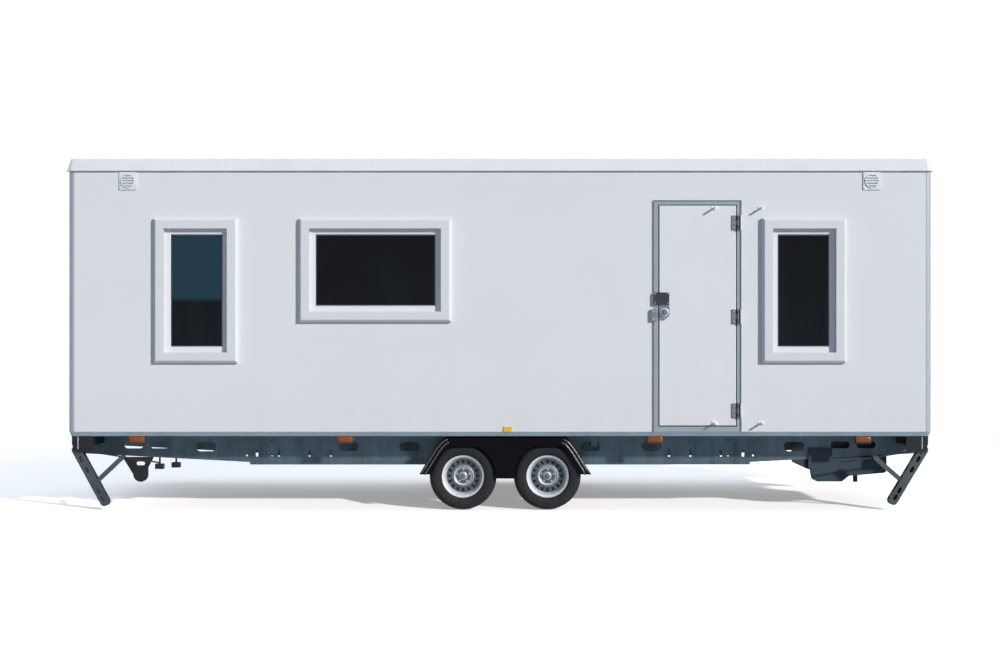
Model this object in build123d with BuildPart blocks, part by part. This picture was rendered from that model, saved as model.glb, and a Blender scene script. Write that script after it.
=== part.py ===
from build123d import *
from math import atan2, cos, degrees, radians, sin
import os

os.makedirs("parts", exist_ok=True)

# A panel-built mobile home, eight metres long, on a tandem-axle trailer chassis.
# X runs along the home, the door side faces -Y, and Z = 0 is the ground.
# Millimetres throughout.

# Body shell
body_length = 8030
body_width = 2500
wall = 60
floor_thickness = 80
corner_radius = 50
trim_height = 42
trim_undercut = 20
wall_show = 2422
cap_height = 113
cap_lap = 45
cap_overhang = 23
cap_draft = 37
cap_skin = 8
cap_gap = 0.5
roof_crown = 28

# Chassis
tyre_radius = 315
rail_over_hub = 83
rail_depth = 299
rail_end_gap = 15
rail_inset = 350
rail_sheet = 5
rail_flange = 60
rail_middle = 4780
rail_step = 24
rail_end_depth = 191
cross_height = 120
cross_width = 60
cross_end_gap = 255
cross_places = (-2220, -740, 900, 2220)

# Oval openings, slots and bolt holes pressed in the rail web
oval_length = 195
oval_height = 90
oval_drop = 127
oval_places = (865, 1448, 2811)
end_oval = (182, 66)
end_oval_drop = 111
end_oval_gaps = (500, 748)
slot_length = 70
slot_width = 24
slot_drop = 189
slot_places = (1616, 1821, 2113, 2323)
bolt_hole_radius = 9
bolt_pitch_x = 239
bolt_pitch_z = 144
bolt_pattern_x = 2300
bolt_pattern_drop = 140

# Wheels and axles
axle_middle_x = 49
axle_spacing = 791
tyre_width = 185
tyre_inset = 55
rim_width = 150
rim_flange_radius = 199
rim_seat_radius = 178
rim_sheet = 6
rim_seat_gap = 0.3
rim_ramp = 25
bead_clear = 2
sidewall_start = 6
sidewall_inset = 12
tread_crown = 10
well_radius = 156
disc_face = 20
disc_dish = 8
vent_count = 16
vent_ring_radius = 132
vent_length = 32
vent_width = 21
vent_depth = 40
ring_radius = 86
ring_width = 22
ring_height = 7
ring_bevel = 5
hub_radius = 45
hub_stand = 6
drum_radius = 145
drum_face = 12
drum_back = 80
cap_radius = 30
cap_length = 16
cap_bevel = 6
wheel_bolt_count = 5
wheel_bolt_radius = 60
wheel_bolt_size = 11
wheel_bolt_height = 12
stub_radius = 20
bearing_gap = 0.05
tube_across = 90
tube_overrun = 22
arm_offset = 150
arm_thickness = 26
arm_width = 70

# Mudguards
guard_half = 802
guard_top_drop = 16
guard_tip_z = 338
guard_sheet = 4
guard_lip = 84
guard_shoulder_x = 560
guard_knee_x = 643
guard_knee_drop = 105
guard_overhang = 22
guard_bend = 120
divider_overlap = 4
divider_foot_z = 300

# Windows, named by their places in the long walls
frame_face = 96
frame_stand = 50
frame_bevel = 20
frame_collar = 45
sash_setback = 50
sash_face = 58
sash_depth = 34
sash_bevel = 10
glass_thickness = 20
tall_light = (586, 1148)
wide_light = (1220, 769)
light_top_z = 2624
side_window_x = 2820
middle_window_x = -1157
back_window_x = 1157

# Doorway, door and its fittings
leaf_width = 715
leaf_height = 2046
leaf_left_x = 1477
leaf_thickness = 45
leaf_gap = 8
leaf_stand = 4
door_frame_face = 42
sill_height = 47
stop_lap = 14
stop_gap = 6
leaf_bevel = 6
hinge_offset_x = 15
hinge_height = 135
hinge_plate = 5
hinge_flap = 34
hinge_pin_radius = 4
knuckle_radius = 9
knuckle_gap = 1
knuckle_clear = 5
pin_gap = 0.1
hinge_foot = 141
hinge_head = 160
catch_reach = 95
catch_arm_x = 217
catch_edge = 24
catch_stem_radius = 11
catch_head = (62, 38)
catch_head_length = 26
catch_foot_radius = 24
catch_foot = 6
lock_width = 92
lock_height = 112
lock_depth = 26
lock_hood = 52
lock_bottom_z = 1920
grip_plate_width = 96
grip_plate_height = 143
grip_plate_depth = 8
grip_plate_cut = 42
grip_cup_radius = 37
grip_cup_depth = 4
grip_radius = 30
grip_depth = 30
grip_bar = (52, 12)
grip_bar_depth = 12
keeper_width = 53
keeper_height = 108
keeper_overlap = 28
keeper_drop = 99
keeper_depth = 22

# Vents, lamps and reflectors
vent_plate_width = 160
vent_plate_height = 165
vent_plate_depth = 10
vent_plate_corner = 8
vent_end_gap = 561
vent_z = 3068
vent_round_radius = 66
vent_round_depth = 8
louvre_margin = 8
louvre_pitch = 24
louvre_slot = 12
lamp_width = 146
lamp_height = 70
lamp_depth = 34
lamp_setback = 2
lamp_inner_x = 1444
lamp_end_gap = 632
lamp_radius = 12
reflector_x = 72
reflector_width = 76
reflector_height = 46
reflector_depth = 9

# Outriggers: arms from the rail ends to the corners, each with a dropped plate outside
outrigger_end_gap = 25
outrigger_width = 205
outrigger_height = 87
outrigger_sheet = 5
outrigger_inset = 30
outrigger_plate = 8
outrigger_plate_height = 148
outrigger_plate_lean = 17

# Corner steadies: a leg on a pivot, a strut from its middle, and a nut on a sloping screw
steady_end_gap = 60
steady_pivot_z = 565
steady_slope = 9
leg_reach = 550
leg_depth = 84
leg_width = 64
leg_sheet = 4
leg_hole = (62, 30)
leg_hole_places = (100, 215, 440, 515)
strut_reach = 355
strut_depth = 40
strut_width = 44
strut_sheet = 6
strut_web = 4
steady_pin_radius = 8
screw_radius = 8
screw_gap = 0.3
screw_length = 775
nut_length = 40
nut_height = 34
nut_width = 22
bearing_radius = 24
bearing_length = 60
cheek_sheet = 8
cheek_clear = 6
cheek_width = 56
cheek_drop = 30
leg_angles = {"front_left": 61.5, "front_right": 59, "back_left": 16, "back_right": 16}

# Tank, its bracket neighbour and the small fittings under the floor
tank_end_gap = 325
tank_length = 760
tank_clear = 23
tank_depth = 560
tank_left_z = 352
tank_step_z = 292
tank_right_z = 322
tank_round = 35
sump_left = 42
sump_lean = 33
sump_flat = 260
sump_rise = 65
sump_foot_z = 238
sump_stand = 22
sump_gap = 6
tank_tab_left = 15
tank_tab_width = 225
tank_tab_top = 557
outlet_radius = 22
outlet_reach = 500
outlet_foot_z = 220
outlet_inset = 40
bracket_end_gap = 563
bracket_lobe_z = 304
bracket_lobe_radius = 72
bracket_left = 175
bracket_right = 125
bracket_plate = 12
bracket_shoulder = 100
bracket_slot = (82, 36)
bracket_slot_drop = 62
stub_places = ((740, 355), (897, 369))
stub_width = 78
stub_height = 48
stub_depth = 60
stub_stalk_radius = 9

# Levels and planes that follow from the sizes above
hub_z = tyre_radius
rail_length = body_length - 2 * rail_end_gap
rail_end_x = rail_length / 2
rail_foot_z = hub_z + rail_over_hub
deck_z = rail_foot_z + rail_depth
wall_foot_z = deck_z + trim_height
eave_z = wall_foot_z + wall_show
wall_top_z = eave_z + cap_lap
cap_top_z = eave_z + cap_height
roof_edge = cap_height - cap_lap - cap_skin - cap_gap
mid_y = (catch_reach - frame_stand) / 2
front_y = mid_y - body_width / 2
back_y = mid_y + body_width / 2
rail_y = front_y + rail_inset
rail_end_z = deck_z - rail_end_depth
outrigger_y = front_y + outrigger_inset
outrigger_x = body_length / 2 - outrigger_end_gap
steady_y = outrigger_y + outrigger_plate + cheek_sheet + cheek_clear + leg_width / 2
tyre_y = front_y + tyre_inset + tyre_width / 2
leaf_foot_z = wall_foot_z + sill_height + leaf_gap
leaf_right_x = leaf_left_x + leaf_width
leaf_top_z = leaf_foot_z + leaf_height
frame_left_x = leaf_left_x - leaf_gap - door_frame_face
frame_right_x = leaf_right_x + leaf_gap + door_frame_face
frame_top_z = leaf_top_z + leaf_gap + door_frame_face
hinge_x = leaf_right_x + hinge_offset_x
hinge_y = front_y - leaf_stand - knuckle_clear - knuckle_radius
hinge_levels = (hinge_foot, (hinge_foot + leaf_height - hinge_head) / 2, leaf_height - hinge_head)
steady_x = body_length / 2 - steady_end_gap
tank_right_x = body_length / 2 - tank_end_gap
tank_left_x = tank_right_x - tank_length
sump_left_x = tank_left_x + sump_left
sump_right_x = sump_left_x + sump_lean + sump_flat + sump_rise
bracket_x = bracket_end_gap - rail_end_x
mid_plane = Plane.XZ.offset(-mid_y)


def save(piece, name):
    """Label a finished piece and write its STEP file."""
    piece.part.label = name
    export_step(piece.part, f"parts/{name}.step")


def upright(y, x=0, z=0):
    """A vertical plane at depth y: its x runs along the home and its y runs up."""
    return Plane(origin=(x, y, z), x_dir=(1, 0, 0), z_dir=(0, -1, 0))


def lying(x, y, z):
    """A vertical cross plane at x: its x runs towards the back and its y runs up."""
    return Plane(origin=(x, y, z), x_dir=(0, 1, 0), z_dir=(1, 0, 0))


def mirrored(piece):
    """The same piece on the back half of the home."""
    with BuildPart() as copy:
        mirror(piece.part, about=mid_plane)
    return copy


def both_sides(piece):
    """The piece and its mirror image on the back half, as two solids of one part."""
    with BuildPart() as pair:
        add(piece.part)
        mirror(piece.part, about=mid_plane)
    return pair


# Chassis rails: channel pressings, deep in the middle and tapered to both ends
def rail_outline(inset=0):
    """The rail's side elevation, drawn in by inset."""
    end = rail_end_x
    middle = rail_middle / 2
    with BuildSketch() as outline:
        with BuildLine():
            Polyline(
                (-end, deck_z), (-end, rail_end_z), (-middle, rail_foot_z + rail_step),
                (-middle, rail_foot_z), (middle, rail_foot_z), (middle, rail_foot_z + rail_step),
                (end, rail_end_z), (end, deck_z), close=True,
            )
        make_face()
        if inset:
            offset(amount=-inset, kind=Kind.INTERSECTION, mode=Mode.REPLACE)
    return outline.sketch


def rail_underside(x):
    """The height of the rail's underside on its taper, at x."""
    along = (abs(x) - rail_middle / 2) / (rail_end_x - rail_middle / 2)
    return rail_foot_z + rail_step + along * (rail_end_z - rail_foot_z - rail_step)


with BuildPart() as rail_front:
    with BuildSketch(upright(rail_y)):
        add(rail_outline())
    extrude(amount=-rail_flange)
    with BuildSketch(upright(rail_y + rail_sheet)):
        add(rail_outline(inset=rail_sheet))
    extrude(amount=-rail_flange, mode=Mode.SUBTRACT)
    with BuildSketch(upright(rail_y)):
        for side in (-1, 1):
            with Locations(*[(side * x, deck_z - oval_drop) for x in oval_places]):
                SlotOverall(oval_length, oval_height)
            with Locations(*[(side * (rail_end_x - gap), deck_z - end_oval_drop) for gap in end_oval_gaps]):
                SlotOverall(*end_oval)
            with Locations(*[(side * x, deck_z - slot_drop) for x in slot_places]):
                SlotOverall(slot_length, slot_width, rotation=90)
            with Locations((side * bolt_pattern_x, deck_z - bolt_pattern_drop)):
                with GridLocations(bolt_pitch_x, bolt_pitch_z, 2, 2):
                    Circle(bolt_hole_radius)
    extrude(amount=-rail_sheet, mode=Mode.SUBTRACT)
save(rail_front, "rail_front")
save(mirrored(rail_front), "rail_back")

# Centre rail: a third channel of the same elevation, with a plain web
with BuildPart() as rail_centre:
    with BuildSketch(upright(mid_y - rail_sheet / 2)):
        add(rail_outline())
    extrude(amount=-rail_flange)
    with BuildSketch(upright(mid_y + rail_sheet / 2)):
        add(rail_outline(inset=rail_sheet))
    extrude(amount=-rail_flange, mode=Mode.SUBTRACT)
save(rail_centre, "rail_centre")

# Cross members: bars from each side rail's web to the centre rail's web, under the top flanges
cross_middles = (cross_end_gap - rail_end_x, *cross_places, rail_end_x - cross_end_gap)
with BuildPart() as cross_members:
    for start in (rail_y + rail_sheet, mid_y + rail_sheet / 2):
        with BuildSketch(upright(start)):
            with Locations(*[(x, deck_z - rail_sheet - cross_height / 2) for x in cross_middles]):
                Rectangle(cross_width, cross_height)
        extrude(amount=-(mid_y - rail_y - 3 * rail_sheet / 2))
save(cross_members, "cross_members")


# Torsion axles: a six-sided tube under the rails, trailing arms and wheel stubs
def axle(x):
    """One axle whose wheels stand at x."""
    tube_x = x - arm_offset
    tube_z = rail_foot_z - tube_across / 2
    tube_y = rail_y - tube_overrun
    with BuildPart() as half:
        with BuildSketch(upright(tube_y)):
            with Locations((tube_x, tube_z)):
                RegularPolygon(tube_across / 2, 6, major_radius=False)
        extrude(amount=-(mid_y - tube_y))
        with BuildSketch(upright(tube_y)):
            with Locations((tube_x, tube_z), (x, hub_z)):
                Circle(arm_width / 2)
            make_hull()
        extrude(amount=arm_thickness)
        with BuildSketch(upright(tube_y)):
            with Locations((x, hub_z)):
                Circle(stub_radius)
        extrude(amount=tube_y - tyre_y + disc_face)
    return both_sides(half)


wheel_places = {
    "leading": axle_middle_x - axle_spacing / 2,
    "trailing": axle_middle_x + axle_spacing / 2,
}
with BuildPart() as axles:
    for x in wheel_places.values():
        add(axle(x).part)
save(axles, "axles")


# Wheels: a turned tyre, and a pressed rim with its drum, bolts and grease cap
def tyre(x):
    """The tyre of a front-side wheel at x, turned about its stub."""
    half = tyre_width / 2
    bead = rim_width / 2 - rim_sheet - bead_clear
    seat = rim_seat_radius + rim_seat_gap
    bead_top = rim_flange_radius + bead_clear
    wall = half - sidewall_inset
    wall_foot = rim_flange_radius + sidewall_start
    tread = half - tread_crown
    shoulder = tyre_radius - tread_crown
    bulge = (rim_flange_radius + shoulder) / 2
    with BuildPart() as ring:
        with BuildSketch(lying(x, tyre_y, hub_z)):
            with BuildLine():
                Polyline(
                    (-wall, wall_foot), (-bead, bead_top), (-bead, seat), (bead, seat),
                    (bead, bead_top), (wall, wall_foot),
                )
                ThreePointArc((wall, wall_foot), (half, bulge), (tread, shoulder))
                ThreePointArc((tread, shoulder), (0, tyre_radius), (-tread, shoulder))
                ThreePointArc((-tread, shoulder), (-half, bulge), (-wall, wall_foot))
            make_face()
        revolve(axis=Axis((x, tyre_y, hub_z), (0, 1, 0)))
    return ring


def rim(x):
    """The rim of a front-side wheel at x. Its face looks outwards, towards -Y."""
    edge = rim_width / 2
    lip = edge - rim_sheet
    seat = rim_seat_radius
    under_seat = seat - rim_sheet
    under_well = well_radius - rim_sheet
    disc = -disc_face
    hub_face = disc - hub_stand
    ring_inner = ring_radius - ring_width / 2
    ring_outer = ring_radius + ring_width / 2
    bore = stub_radius + bearing_gap
    with BuildPart() as wheel:
        with BuildSketch(lying(x, tyre_y, hub_z)):
            with BuildLine():
                Polyline(
                    (-edge, rim_flange_radius), (-edge, under_seat), (-edge + rim_ramp, under_seat),
                    (disc, under_well), (disc + rim_ramp, under_well), (lip - rim_ramp, under_seat),
                    (edge, under_seat), (edge, rim_flange_radius), (lip, rim_flange_radius),
                    (lip, seat), (lip - rim_ramp, seat), (disc + rim_ramp + rim_sheet, well_radius),
                    (disc, well_radius), (rim_ramp - lip, seat), (-lip, seat),
                    (-lip, rim_flange_radius), close=True,
                )
            make_face()
            with BuildLine():
                Polyline(
                    (disc, bore), (disc, vent_ring_radius), (disc + disc_dish, well_radius - rim_sheet / 2),
                    (disc + disc_dish + rim_sheet, well_radius - rim_sheet / 2),
                    (disc + rim_sheet, vent_ring_radius), (disc + rim_sheet, bore), close=True,
                )
            make_face()
            with BuildLine():
                Polyline(
                    (disc, ring_inner), (disc - ring_height, ring_inner + ring_bevel),
                    (disc - ring_height, ring_outer - ring_bevel), (disc, ring_outer),
                    (disc + rim_sheet / 2, ring_radius), close=True,
                )
            make_face()
            with BuildLine():
                Polyline(
                    (hub_face, bore), (hub_face, hub_radius), (drum_face, hub_radius),
                    (drum_face, drum_radius), (drum_back, drum_radius), (drum_back, bore), close=True,
                )
            make_face()
            with BuildLine():
                Polyline(
                    (hub_face, 0), (hub_face - cap_length, 0),
                    (hub_face - cap_length, cap_radius - cap_bevel),
                    (hub_face - cap_length + cap_bevel, cap_radius), (hub_face, cap_radius), close=True,
                )
            make_face()
        revolve(axis=Axis((x, tyre_y, hub_z), (0, 1, 0)))
        with BuildSketch(upright(tyre_y - disc_face - vent_depth / 2, x, hub_z)):
            with PolarLocations(vent_ring_radius, vent_count):
                SlotOverall(vent_length, vent_width)
        extrude(amount=-vent_depth, mode=Mode.SUBTRACT)
        with BuildSketch(upright(tyre_y - disc_face, x, hub_z)):
            with PolarLocations(wheel_bolt_radius, wheel_bolt_count, start_angle=90):
                RegularPolygon(wheel_bolt_size, 6)
        extrude(amount=wheel_bolt_height)
    return wheel


for place, x in wheel_places.items():
    save(tyre(x), f"tyre_front_{place}")
    save(rim(x), f"rim_front_{place}")
    save(mirrored(tyre(x)), f"tyre_back_{place}")
    save(mirrored(rim(x)), f"rim_back_{place}")


# Mudguards: one moulding over both wheels, with a lip outside and a flap between the wheels
def guard_outline(depth, inset=0):
    """The moulding's side elevation, carried down to depth and drawn in by inset."""
    top = deck_z - guard_top_drop
    knee = deck_z - guard_knee_drop
    lean = (guard_half - guard_knee_x) / (knee - guard_tip_z)
    foot = guard_knee_x + lean * (knee - depth)
    with BuildSketch() as outline:
        with BuildLine():
            path = FilletPolyline(
                (axle_middle_x - foot, depth), (axle_middle_x - guard_knee_x, knee),
                (axle_middle_x - guard_shoulder_x, top), (axle_middle_x + guard_shoulder_x, top),
                (axle_middle_x + guard_knee_x, knee), (axle_middle_x + foot, depth),
                radius=guard_bend,
            )
            Line(path @ 1, path @ 0)
        make_face()
        if inset:
            offset(amount=-inset, kind=Kind.INTERSECTION, mode=Mode.REPLACE)
    return outline.sketch


guard_out_y = front_y + tyre_inset - guard_overhang
with BuildPart() as mudguard:
    with BuildSketch(upright(guard_out_y)):
        add(guard_outline(guard_tip_z))
    extrude(amount=guard_out_y - rail_y)
    with BuildSketch(upright(guard_out_y + guard_sheet)):
        add(guard_outline(0, inset=guard_sheet))
    extrude(amount=guard_out_y + guard_sheet - rail_y, mode=Mode.SUBTRACT)
    with BuildSketch(upright(guard_out_y)):
        add(guard_outline(0, inset=guard_lip))
    extrude(amount=-guard_sheet, mode=Mode.SUBTRACT)
    with BuildSketch(upright(guard_out_y)):
        with Locations((axle_middle_x, (deck_z - guard_top_drop + divider_foot_z) / 2)):
            Rectangle(axle_spacing, deck_z - guard_top_drop - divider_foot_z)
        with Locations(*[(x, hub_z) for x in wheel_places.values()]):
            Circle(tyre_radius - divider_overlap, mode=Mode.SUBTRACT)
    extrude(amount=-guard_sheet)
save(both_sides(mudguard), "mudguards")

# Floor panel between the walls, on the rails
with BuildPart() as floor_panel:
    with BuildSketch(Plane.XY.offset(deck_z)):
        with Locations((0, mid_y)):
            Rectangle(body_length - 2 * wall, body_width - 2 * wall)
    extrude(amount=floor_thickness)
save(floor_panel, "floor_panel")

# Base trims: an undercut aluminium section round the foot of the walls
with BuildPart() as trim_ring:
    with BuildSketch(Plane.XY.offset(wall_foot_z)):
        with Locations((0, mid_y)):
            RectangleRounded(body_length, body_width, corner_radius)
    with BuildSketch(Plane.XY.offset(deck_z)):
        with Locations((0, mid_y)):
            RectangleRounded(
                body_length - 2 * trim_undercut, body_width - 2 * trim_undercut,
                corner_radius - trim_undercut,
            )
    loft()
    with BuildSketch(Plane.XY.offset(deck_z)):
        with Locations((0, mid_y)):
            Rectangle(body_length - 2 * wall, body_width - 2 * wall)
    extrude(amount=trim_height, mode=Mode.SUBTRACT)
with BuildPart() as long_base_trims:
    add(trim_ring.part)
    with BuildSketch(Plane.XY.offset(deck_z)):
        with Locations((0, mid_y)):
            Rectangle(body_length, body_width - 2 * wall)
    extrude(amount=trim_height, mode=Mode.SUBTRACT)
save(long_base_trims, "long_base_trims")
with BuildPart() as end_base_trims:
    add(trim_ring.part)
    with BuildSketch(Plane.XY.offset(deck_z)):
        with Locations((0, mid_y)):
            Rectangle(body_length, body_width - 2 * wall)
    extrude(amount=trim_height, mode=Mode.INTERSECT)
save(end_base_trims, "end_base_trims")

# Corner trims: four quarter-round posts from the base trim to the roof
with BuildPart() as corner_trims:
    with BuildSketch(Plane.XY.offset(wall_foot_z)):
        with Locations((0, mid_y)):
            with GridLocations(body_length - wall, body_width - wall, 2, 2):
                Rectangle(wall, wall)
            RectangleRounded(body_length, body_width, corner_radius, mode=Mode.INTERSECT)
    extrude(amount=wall_top_z - wall_foot_z)
save(corner_trims, "corner_trims")

# Windows: each place is the middle of a light, the clear opening inside its outer frame
tall_middle_z = light_top_z - tall_light[1] / 2
wide_middle_z = light_top_z - wide_light[1] / 2
front_lights = (
    (-side_window_x, tall_middle_z, tall_light),
    (middle_window_x, wide_middle_z, wide_light),
    (side_window_x, tall_middle_z, tall_light),
)
back_lights = ((back_window_x, wide_middle_z, wide_light),)


def light_areas(lights, grow):
    """A rectangle for each light, grown by grow on every side."""
    with BuildSketch() as areas:
        for x, z, (width, height) in lights:
            with Locations((x, z)):
                Rectangle(width + 2 * grow, height + 2 * grow)
    return areas.sketch


# Walls: sandwich panels between the corner trims, split beside and over the doorway
def front_panel(left, right, foot, lights):
    """A stretch of the front wall with the holes for its windows."""
    with BuildPart() as panel:
        with BuildSketch(upright(front_y)):
            with Locations(((left + right) / 2, (foot + wall_top_z) / 2)):
                Rectangle(right - left, wall_top_z - foot)
            if lights:
                add(light_areas(lights, frame_collar), mode=Mode.SUBTRACT)
        extrude(amount=-wall)
    return panel


panel_end = body_length / 2 - wall
save(front_panel(-panel_end, frame_left_x, wall_foot_z, front_lights[:2]), "front_wall_left")
save(front_panel(frame_left_x, frame_right_x, frame_top_z, ()), "front_wall_over_door")
save(front_panel(frame_right_x, panel_end, wall_foot_z, front_lights[2:]), "front_wall_right")
save(mirrored(front_panel(-panel_end, panel_end, wall_foot_z, back_lights)), "back_wall")

for side, end in (("left", -1), ("right", 1)):
    with BuildPart() as end_wall:
        with BuildSketch(Plane.XY.offset(wall_foot_z)):
            with Locations((end * (body_length - wall) / 2, mid_y)):
                Rectangle(wall, body_width - 2 * wall)
        extrude(amount=wall_top_z - wall_foot_z)
    save(end_wall, f"end_wall_{side}")


# Window frames stand proud of the wall, with a set-back sash and double glass
def window_frames(lights):
    """The outer frames of the front lights given."""
    with BuildPart() as frames:
        with BuildSketch(upright(front_y - frame_stand)):
            add(light_areas(lights, frame_face))
        extrude(amount=-frame_stand)
        chamfer(frames.faces().filter_by(Axis.Y).group_by(Axis.Y)[0].edges(), frame_bevel)
        with BuildSketch(upright(front_y)):
            add(light_areas(lights, frame_collar))
        extrude(amount=-wall)
        with BuildSketch(upright(front_y - frame_stand)):
            add(light_areas(lights, 0))
        extrude(amount=-(frame_stand + wall), mode=Mode.SUBTRACT)
    return frames


def window_sashes(lights):
    """The sashes, set back inside the frames, with a bevelled glazing edge."""
    sash_y = front_y - frame_stand + sash_setback
    with BuildPart() as sashes:
        with BuildSketch(upright(sash_y)):
            add(light_areas(lights, 0))
        extrude(amount=-sash_depth)
        with BuildSketch(upright(sash_y)):
            add(light_areas(lights, -sash_face))
        extrude(amount=-sash_depth, mode=Mode.SUBTRACT)
        for face in sashes.faces().filter_by(Axis.Y).group_by(Axis.Y)[0]:
            chamfer(face.inner_wires().edges(), sash_bevel)
    return sashes


def window_glass(lights):
    """The glass, held in the middle of the sash."""
    glass_y = front_y - frame_stand + sash_setback + (sash_depth - glass_thickness) / 2
    with BuildPart() as glass:
        with BuildSketch(upright(glass_y)):
            add(light_areas(lights, -sash_face))
        extrude(amount=-glass_thickness)
    return glass


for make in (window_frames, window_sashes, window_glass):
    with BuildPart() as windows:
        add(make(front_lights).part)
        mirror(make(back_lights).part, about=mid_plane)
    save(windows, make.__name__)

# Roof: a crowned panel on the wall tops, under a moulded cap whose skirt laps the walls
def crowned_profile(width, foot, edge_top):
    """A cross-section of the roof: flat below, with a low arc on top."""
    with BuildSketch() as profile:
        with BuildLine():
            Polyline(
                (mid_y - width / 2, edge_top), (mid_y - width / 2, foot),
                (mid_y + width / 2, foot), (mid_y + width / 2, edge_top),
            )
            ThreePointArc(
                (mid_y - width / 2, edge_top), (mid_y, edge_top + roof_crown), (mid_y + width / 2, edge_top)
            )
        make_face()
    return profile.sketch


roof_lean = degrees(atan2(cap_draft, cap_height))


def roof_block(length, width, radius, foot, edge_top):
    """A block with leaning sides and rounded corners under the roof's crown."""
    with BuildPart() as block:
        with BuildSketch(Plane.XY.offset(foot)):
            with Locations((0, mid_y)):
                RectangleRounded(length, width, radius)
        extrude(amount=edge_top + roof_crown - foot, taper=roof_lean)
        with BuildSketch(lying(-length, 0, 0)):
            add(crowned_profile(body_width + 2 * cap_overhang, foot, edge_top))
        extrude(amount=2 * length, mode=Mode.INTERSECT)
    return block


panel_top_z = wall_top_z + roof_edge
save(roof_block(body_length, body_width, corner_radius, wall_top_z, panel_top_z), "roof_panel")

cap_outside = roof_block(
    body_length + 2 * cap_overhang, body_width + 2 * cap_overhang, corner_radius + cap_overhang,
    eave_z, cap_top_z,
)
cap_inside = roof_block(
    body_length + 2 * cap_gap, body_width + 2 * cap_gap, corner_radius + cap_gap,
    wall_top_z, panel_top_z + cap_gap,
)
with BuildPart() as roof_cap:
    add(cap_outside.part)
    add(cap_inside.part, mode=Mode.SUBTRACT)
    with BuildSketch(Plane.XY.offset(eave_z)):
        with Locations((0, mid_y)):
            RectangleRounded(body_length + 2 * cap_gap, body_width + 2 * cap_gap, corner_radius + cap_gap)
    extrude(amount=cap_lap, mode=Mode.SUBTRACT)
save(roof_cap, "roof_cap")

# Door frame: an aluminium section round the doorway with a stop behind the leaf
with BuildPart() as door_frame:
    frame_width = frame_right_x - frame_left_x
    frame_height = frame_top_z - wall_foot_z
    opening_foot_z = leaf_foot_z - leaf_gap
    opening_width = leaf_width + 2 * leaf_gap
    opening_height = leaf_height + 2 * leaf_gap
    opening_middle = ((leaf_left_x + leaf_right_x) / 2, opening_foot_z + opening_height / 2)
    with BuildSketch(upright(front_y - leaf_stand)):
        with Locations(((frame_left_x + frame_right_x) / 2, wall_foot_z + frame_height / 2)):
            Rectangle(frame_width, frame_height)
    extrude(amount=-(wall + leaf_stand))
    with BuildSketch(upright(front_y - leaf_stand)):
        with Locations(opening_middle):
            Rectangle(opening_width, opening_height)
    extrude(amount=-(leaf_thickness + stop_gap), mode=Mode.SUBTRACT)
    with BuildSketch(upright(front_y)):
        with Locations(opening_middle):
            Rectangle(leaf_width - 2 * stop_lap, leaf_height - 2 * stop_lap)
    extrude(amount=-wall, mode=Mode.SUBTRACT)
save(door_frame, "door_frame")

# Door leaf: a thick insulated panel with a bevelled edge
with BuildPart() as door_leaf:
    with BuildSketch(upright(front_y - leaf_stand)):
        with Locations(((leaf_left_x + leaf_right_x) / 2, (leaf_foot_z + leaf_top_z) / 2)):
            Rectangle(leaf_width, leaf_height)
    extrude(amount=-leaf_thickness)
    chamfer(door_leaf.faces().sort_by(Axis.Y)[0].edges(), leaf_bevel)
save(door_leaf, "door_leaf")

# Hinges: the outer knuckles and the pin on the frame, the middle knuckle on the leaf
knuckle_height = hinge_height / 3
frame_heights = ((0, knuckle_height - knuckle_gap), (2 * knuckle_height + knuckle_gap, hinge_height))


def hinge_part(heights, flap_from, flap_to):
    """Knuckles at the heights given, each with an arm to a flap on the leaf or frame face."""
    face_y = front_y - leaf_stand
    with BuildPart() as part:
        for level in hinge_levels:
            foot = leaf_foot_z + level - hinge_height / 2
            for low, high in heights:
                with BuildSketch(Plane.XY.offset(foot + low)):
                    with Locations((hinge_x, hinge_y)):
                        Circle(knuckle_radius)
                    with Locations(((hinge_x + flap_from) / 2, hinge_y + knuckle_radius - hinge_plate / 2)):
                        Rectangle(abs(hinge_x - flap_from) + hinge_plate, hinge_plate)
                extrude(amount=high - low)
            with BuildSketch(Plane.XY.offset(foot)):
                with Locations(((flap_from + flap_to) / 2, face_y - (knuckle_clear + hinge_plate) / 2)):
                    Rectangle(abs(flap_to - flap_from), knuckle_clear + hinge_plate)
            extrude(amount=hinge_height)
            with BuildSketch(Plane.XY.offset(foot + heights[0][0])):
                with Locations((hinge_x, hinge_y)):
                    Circle(hinge_pin_radius + pin_gap)
            extrude(amount=heights[-1][1] - heights[0][0], mode=Mode.SUBTRACT)
    return part


with BuildPart() as frame_hinge_halves:
    frame_flap_x = hinge_x + knuckle_radius + knuckle_clear
    add(hinge_part(frame_heights, frame_flap_x, frame_right_x).part)
    for level in hinge_levels:
        with BuildSketch(Plane.XY.offset(leaf_foot_z + level - hinge_height / 2)):
            with Locations((hinge_x, hinge_y)):
                Circle(hinge_pin_radius)
        extrude(amount=hinge_height)
        for end_z in (0, hinge_height - knuckle_height / 2):
            with BuildSketch(Plane.XY.offset(leaf_foot_z + level - hinge_height / 2 + end_z)):
                with Locations((hinge_x, hinge_y)):
                    Circle(hinge_pin_radius + pin_gap)
            extrude(amount=knuckle_height / 2)
save(frame_hinge_halves, "frame_hinge_halves")
leaf_flap_x = leaf_right_x - hinge_plate
leaf_heights = ((knuckle_height, 2 * knuckle_height),)
save(hinge_part(leaf_heights, leaf_flap_x, leaf_flap_x - hinge_flap), "door_hinge_halves")


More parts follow.
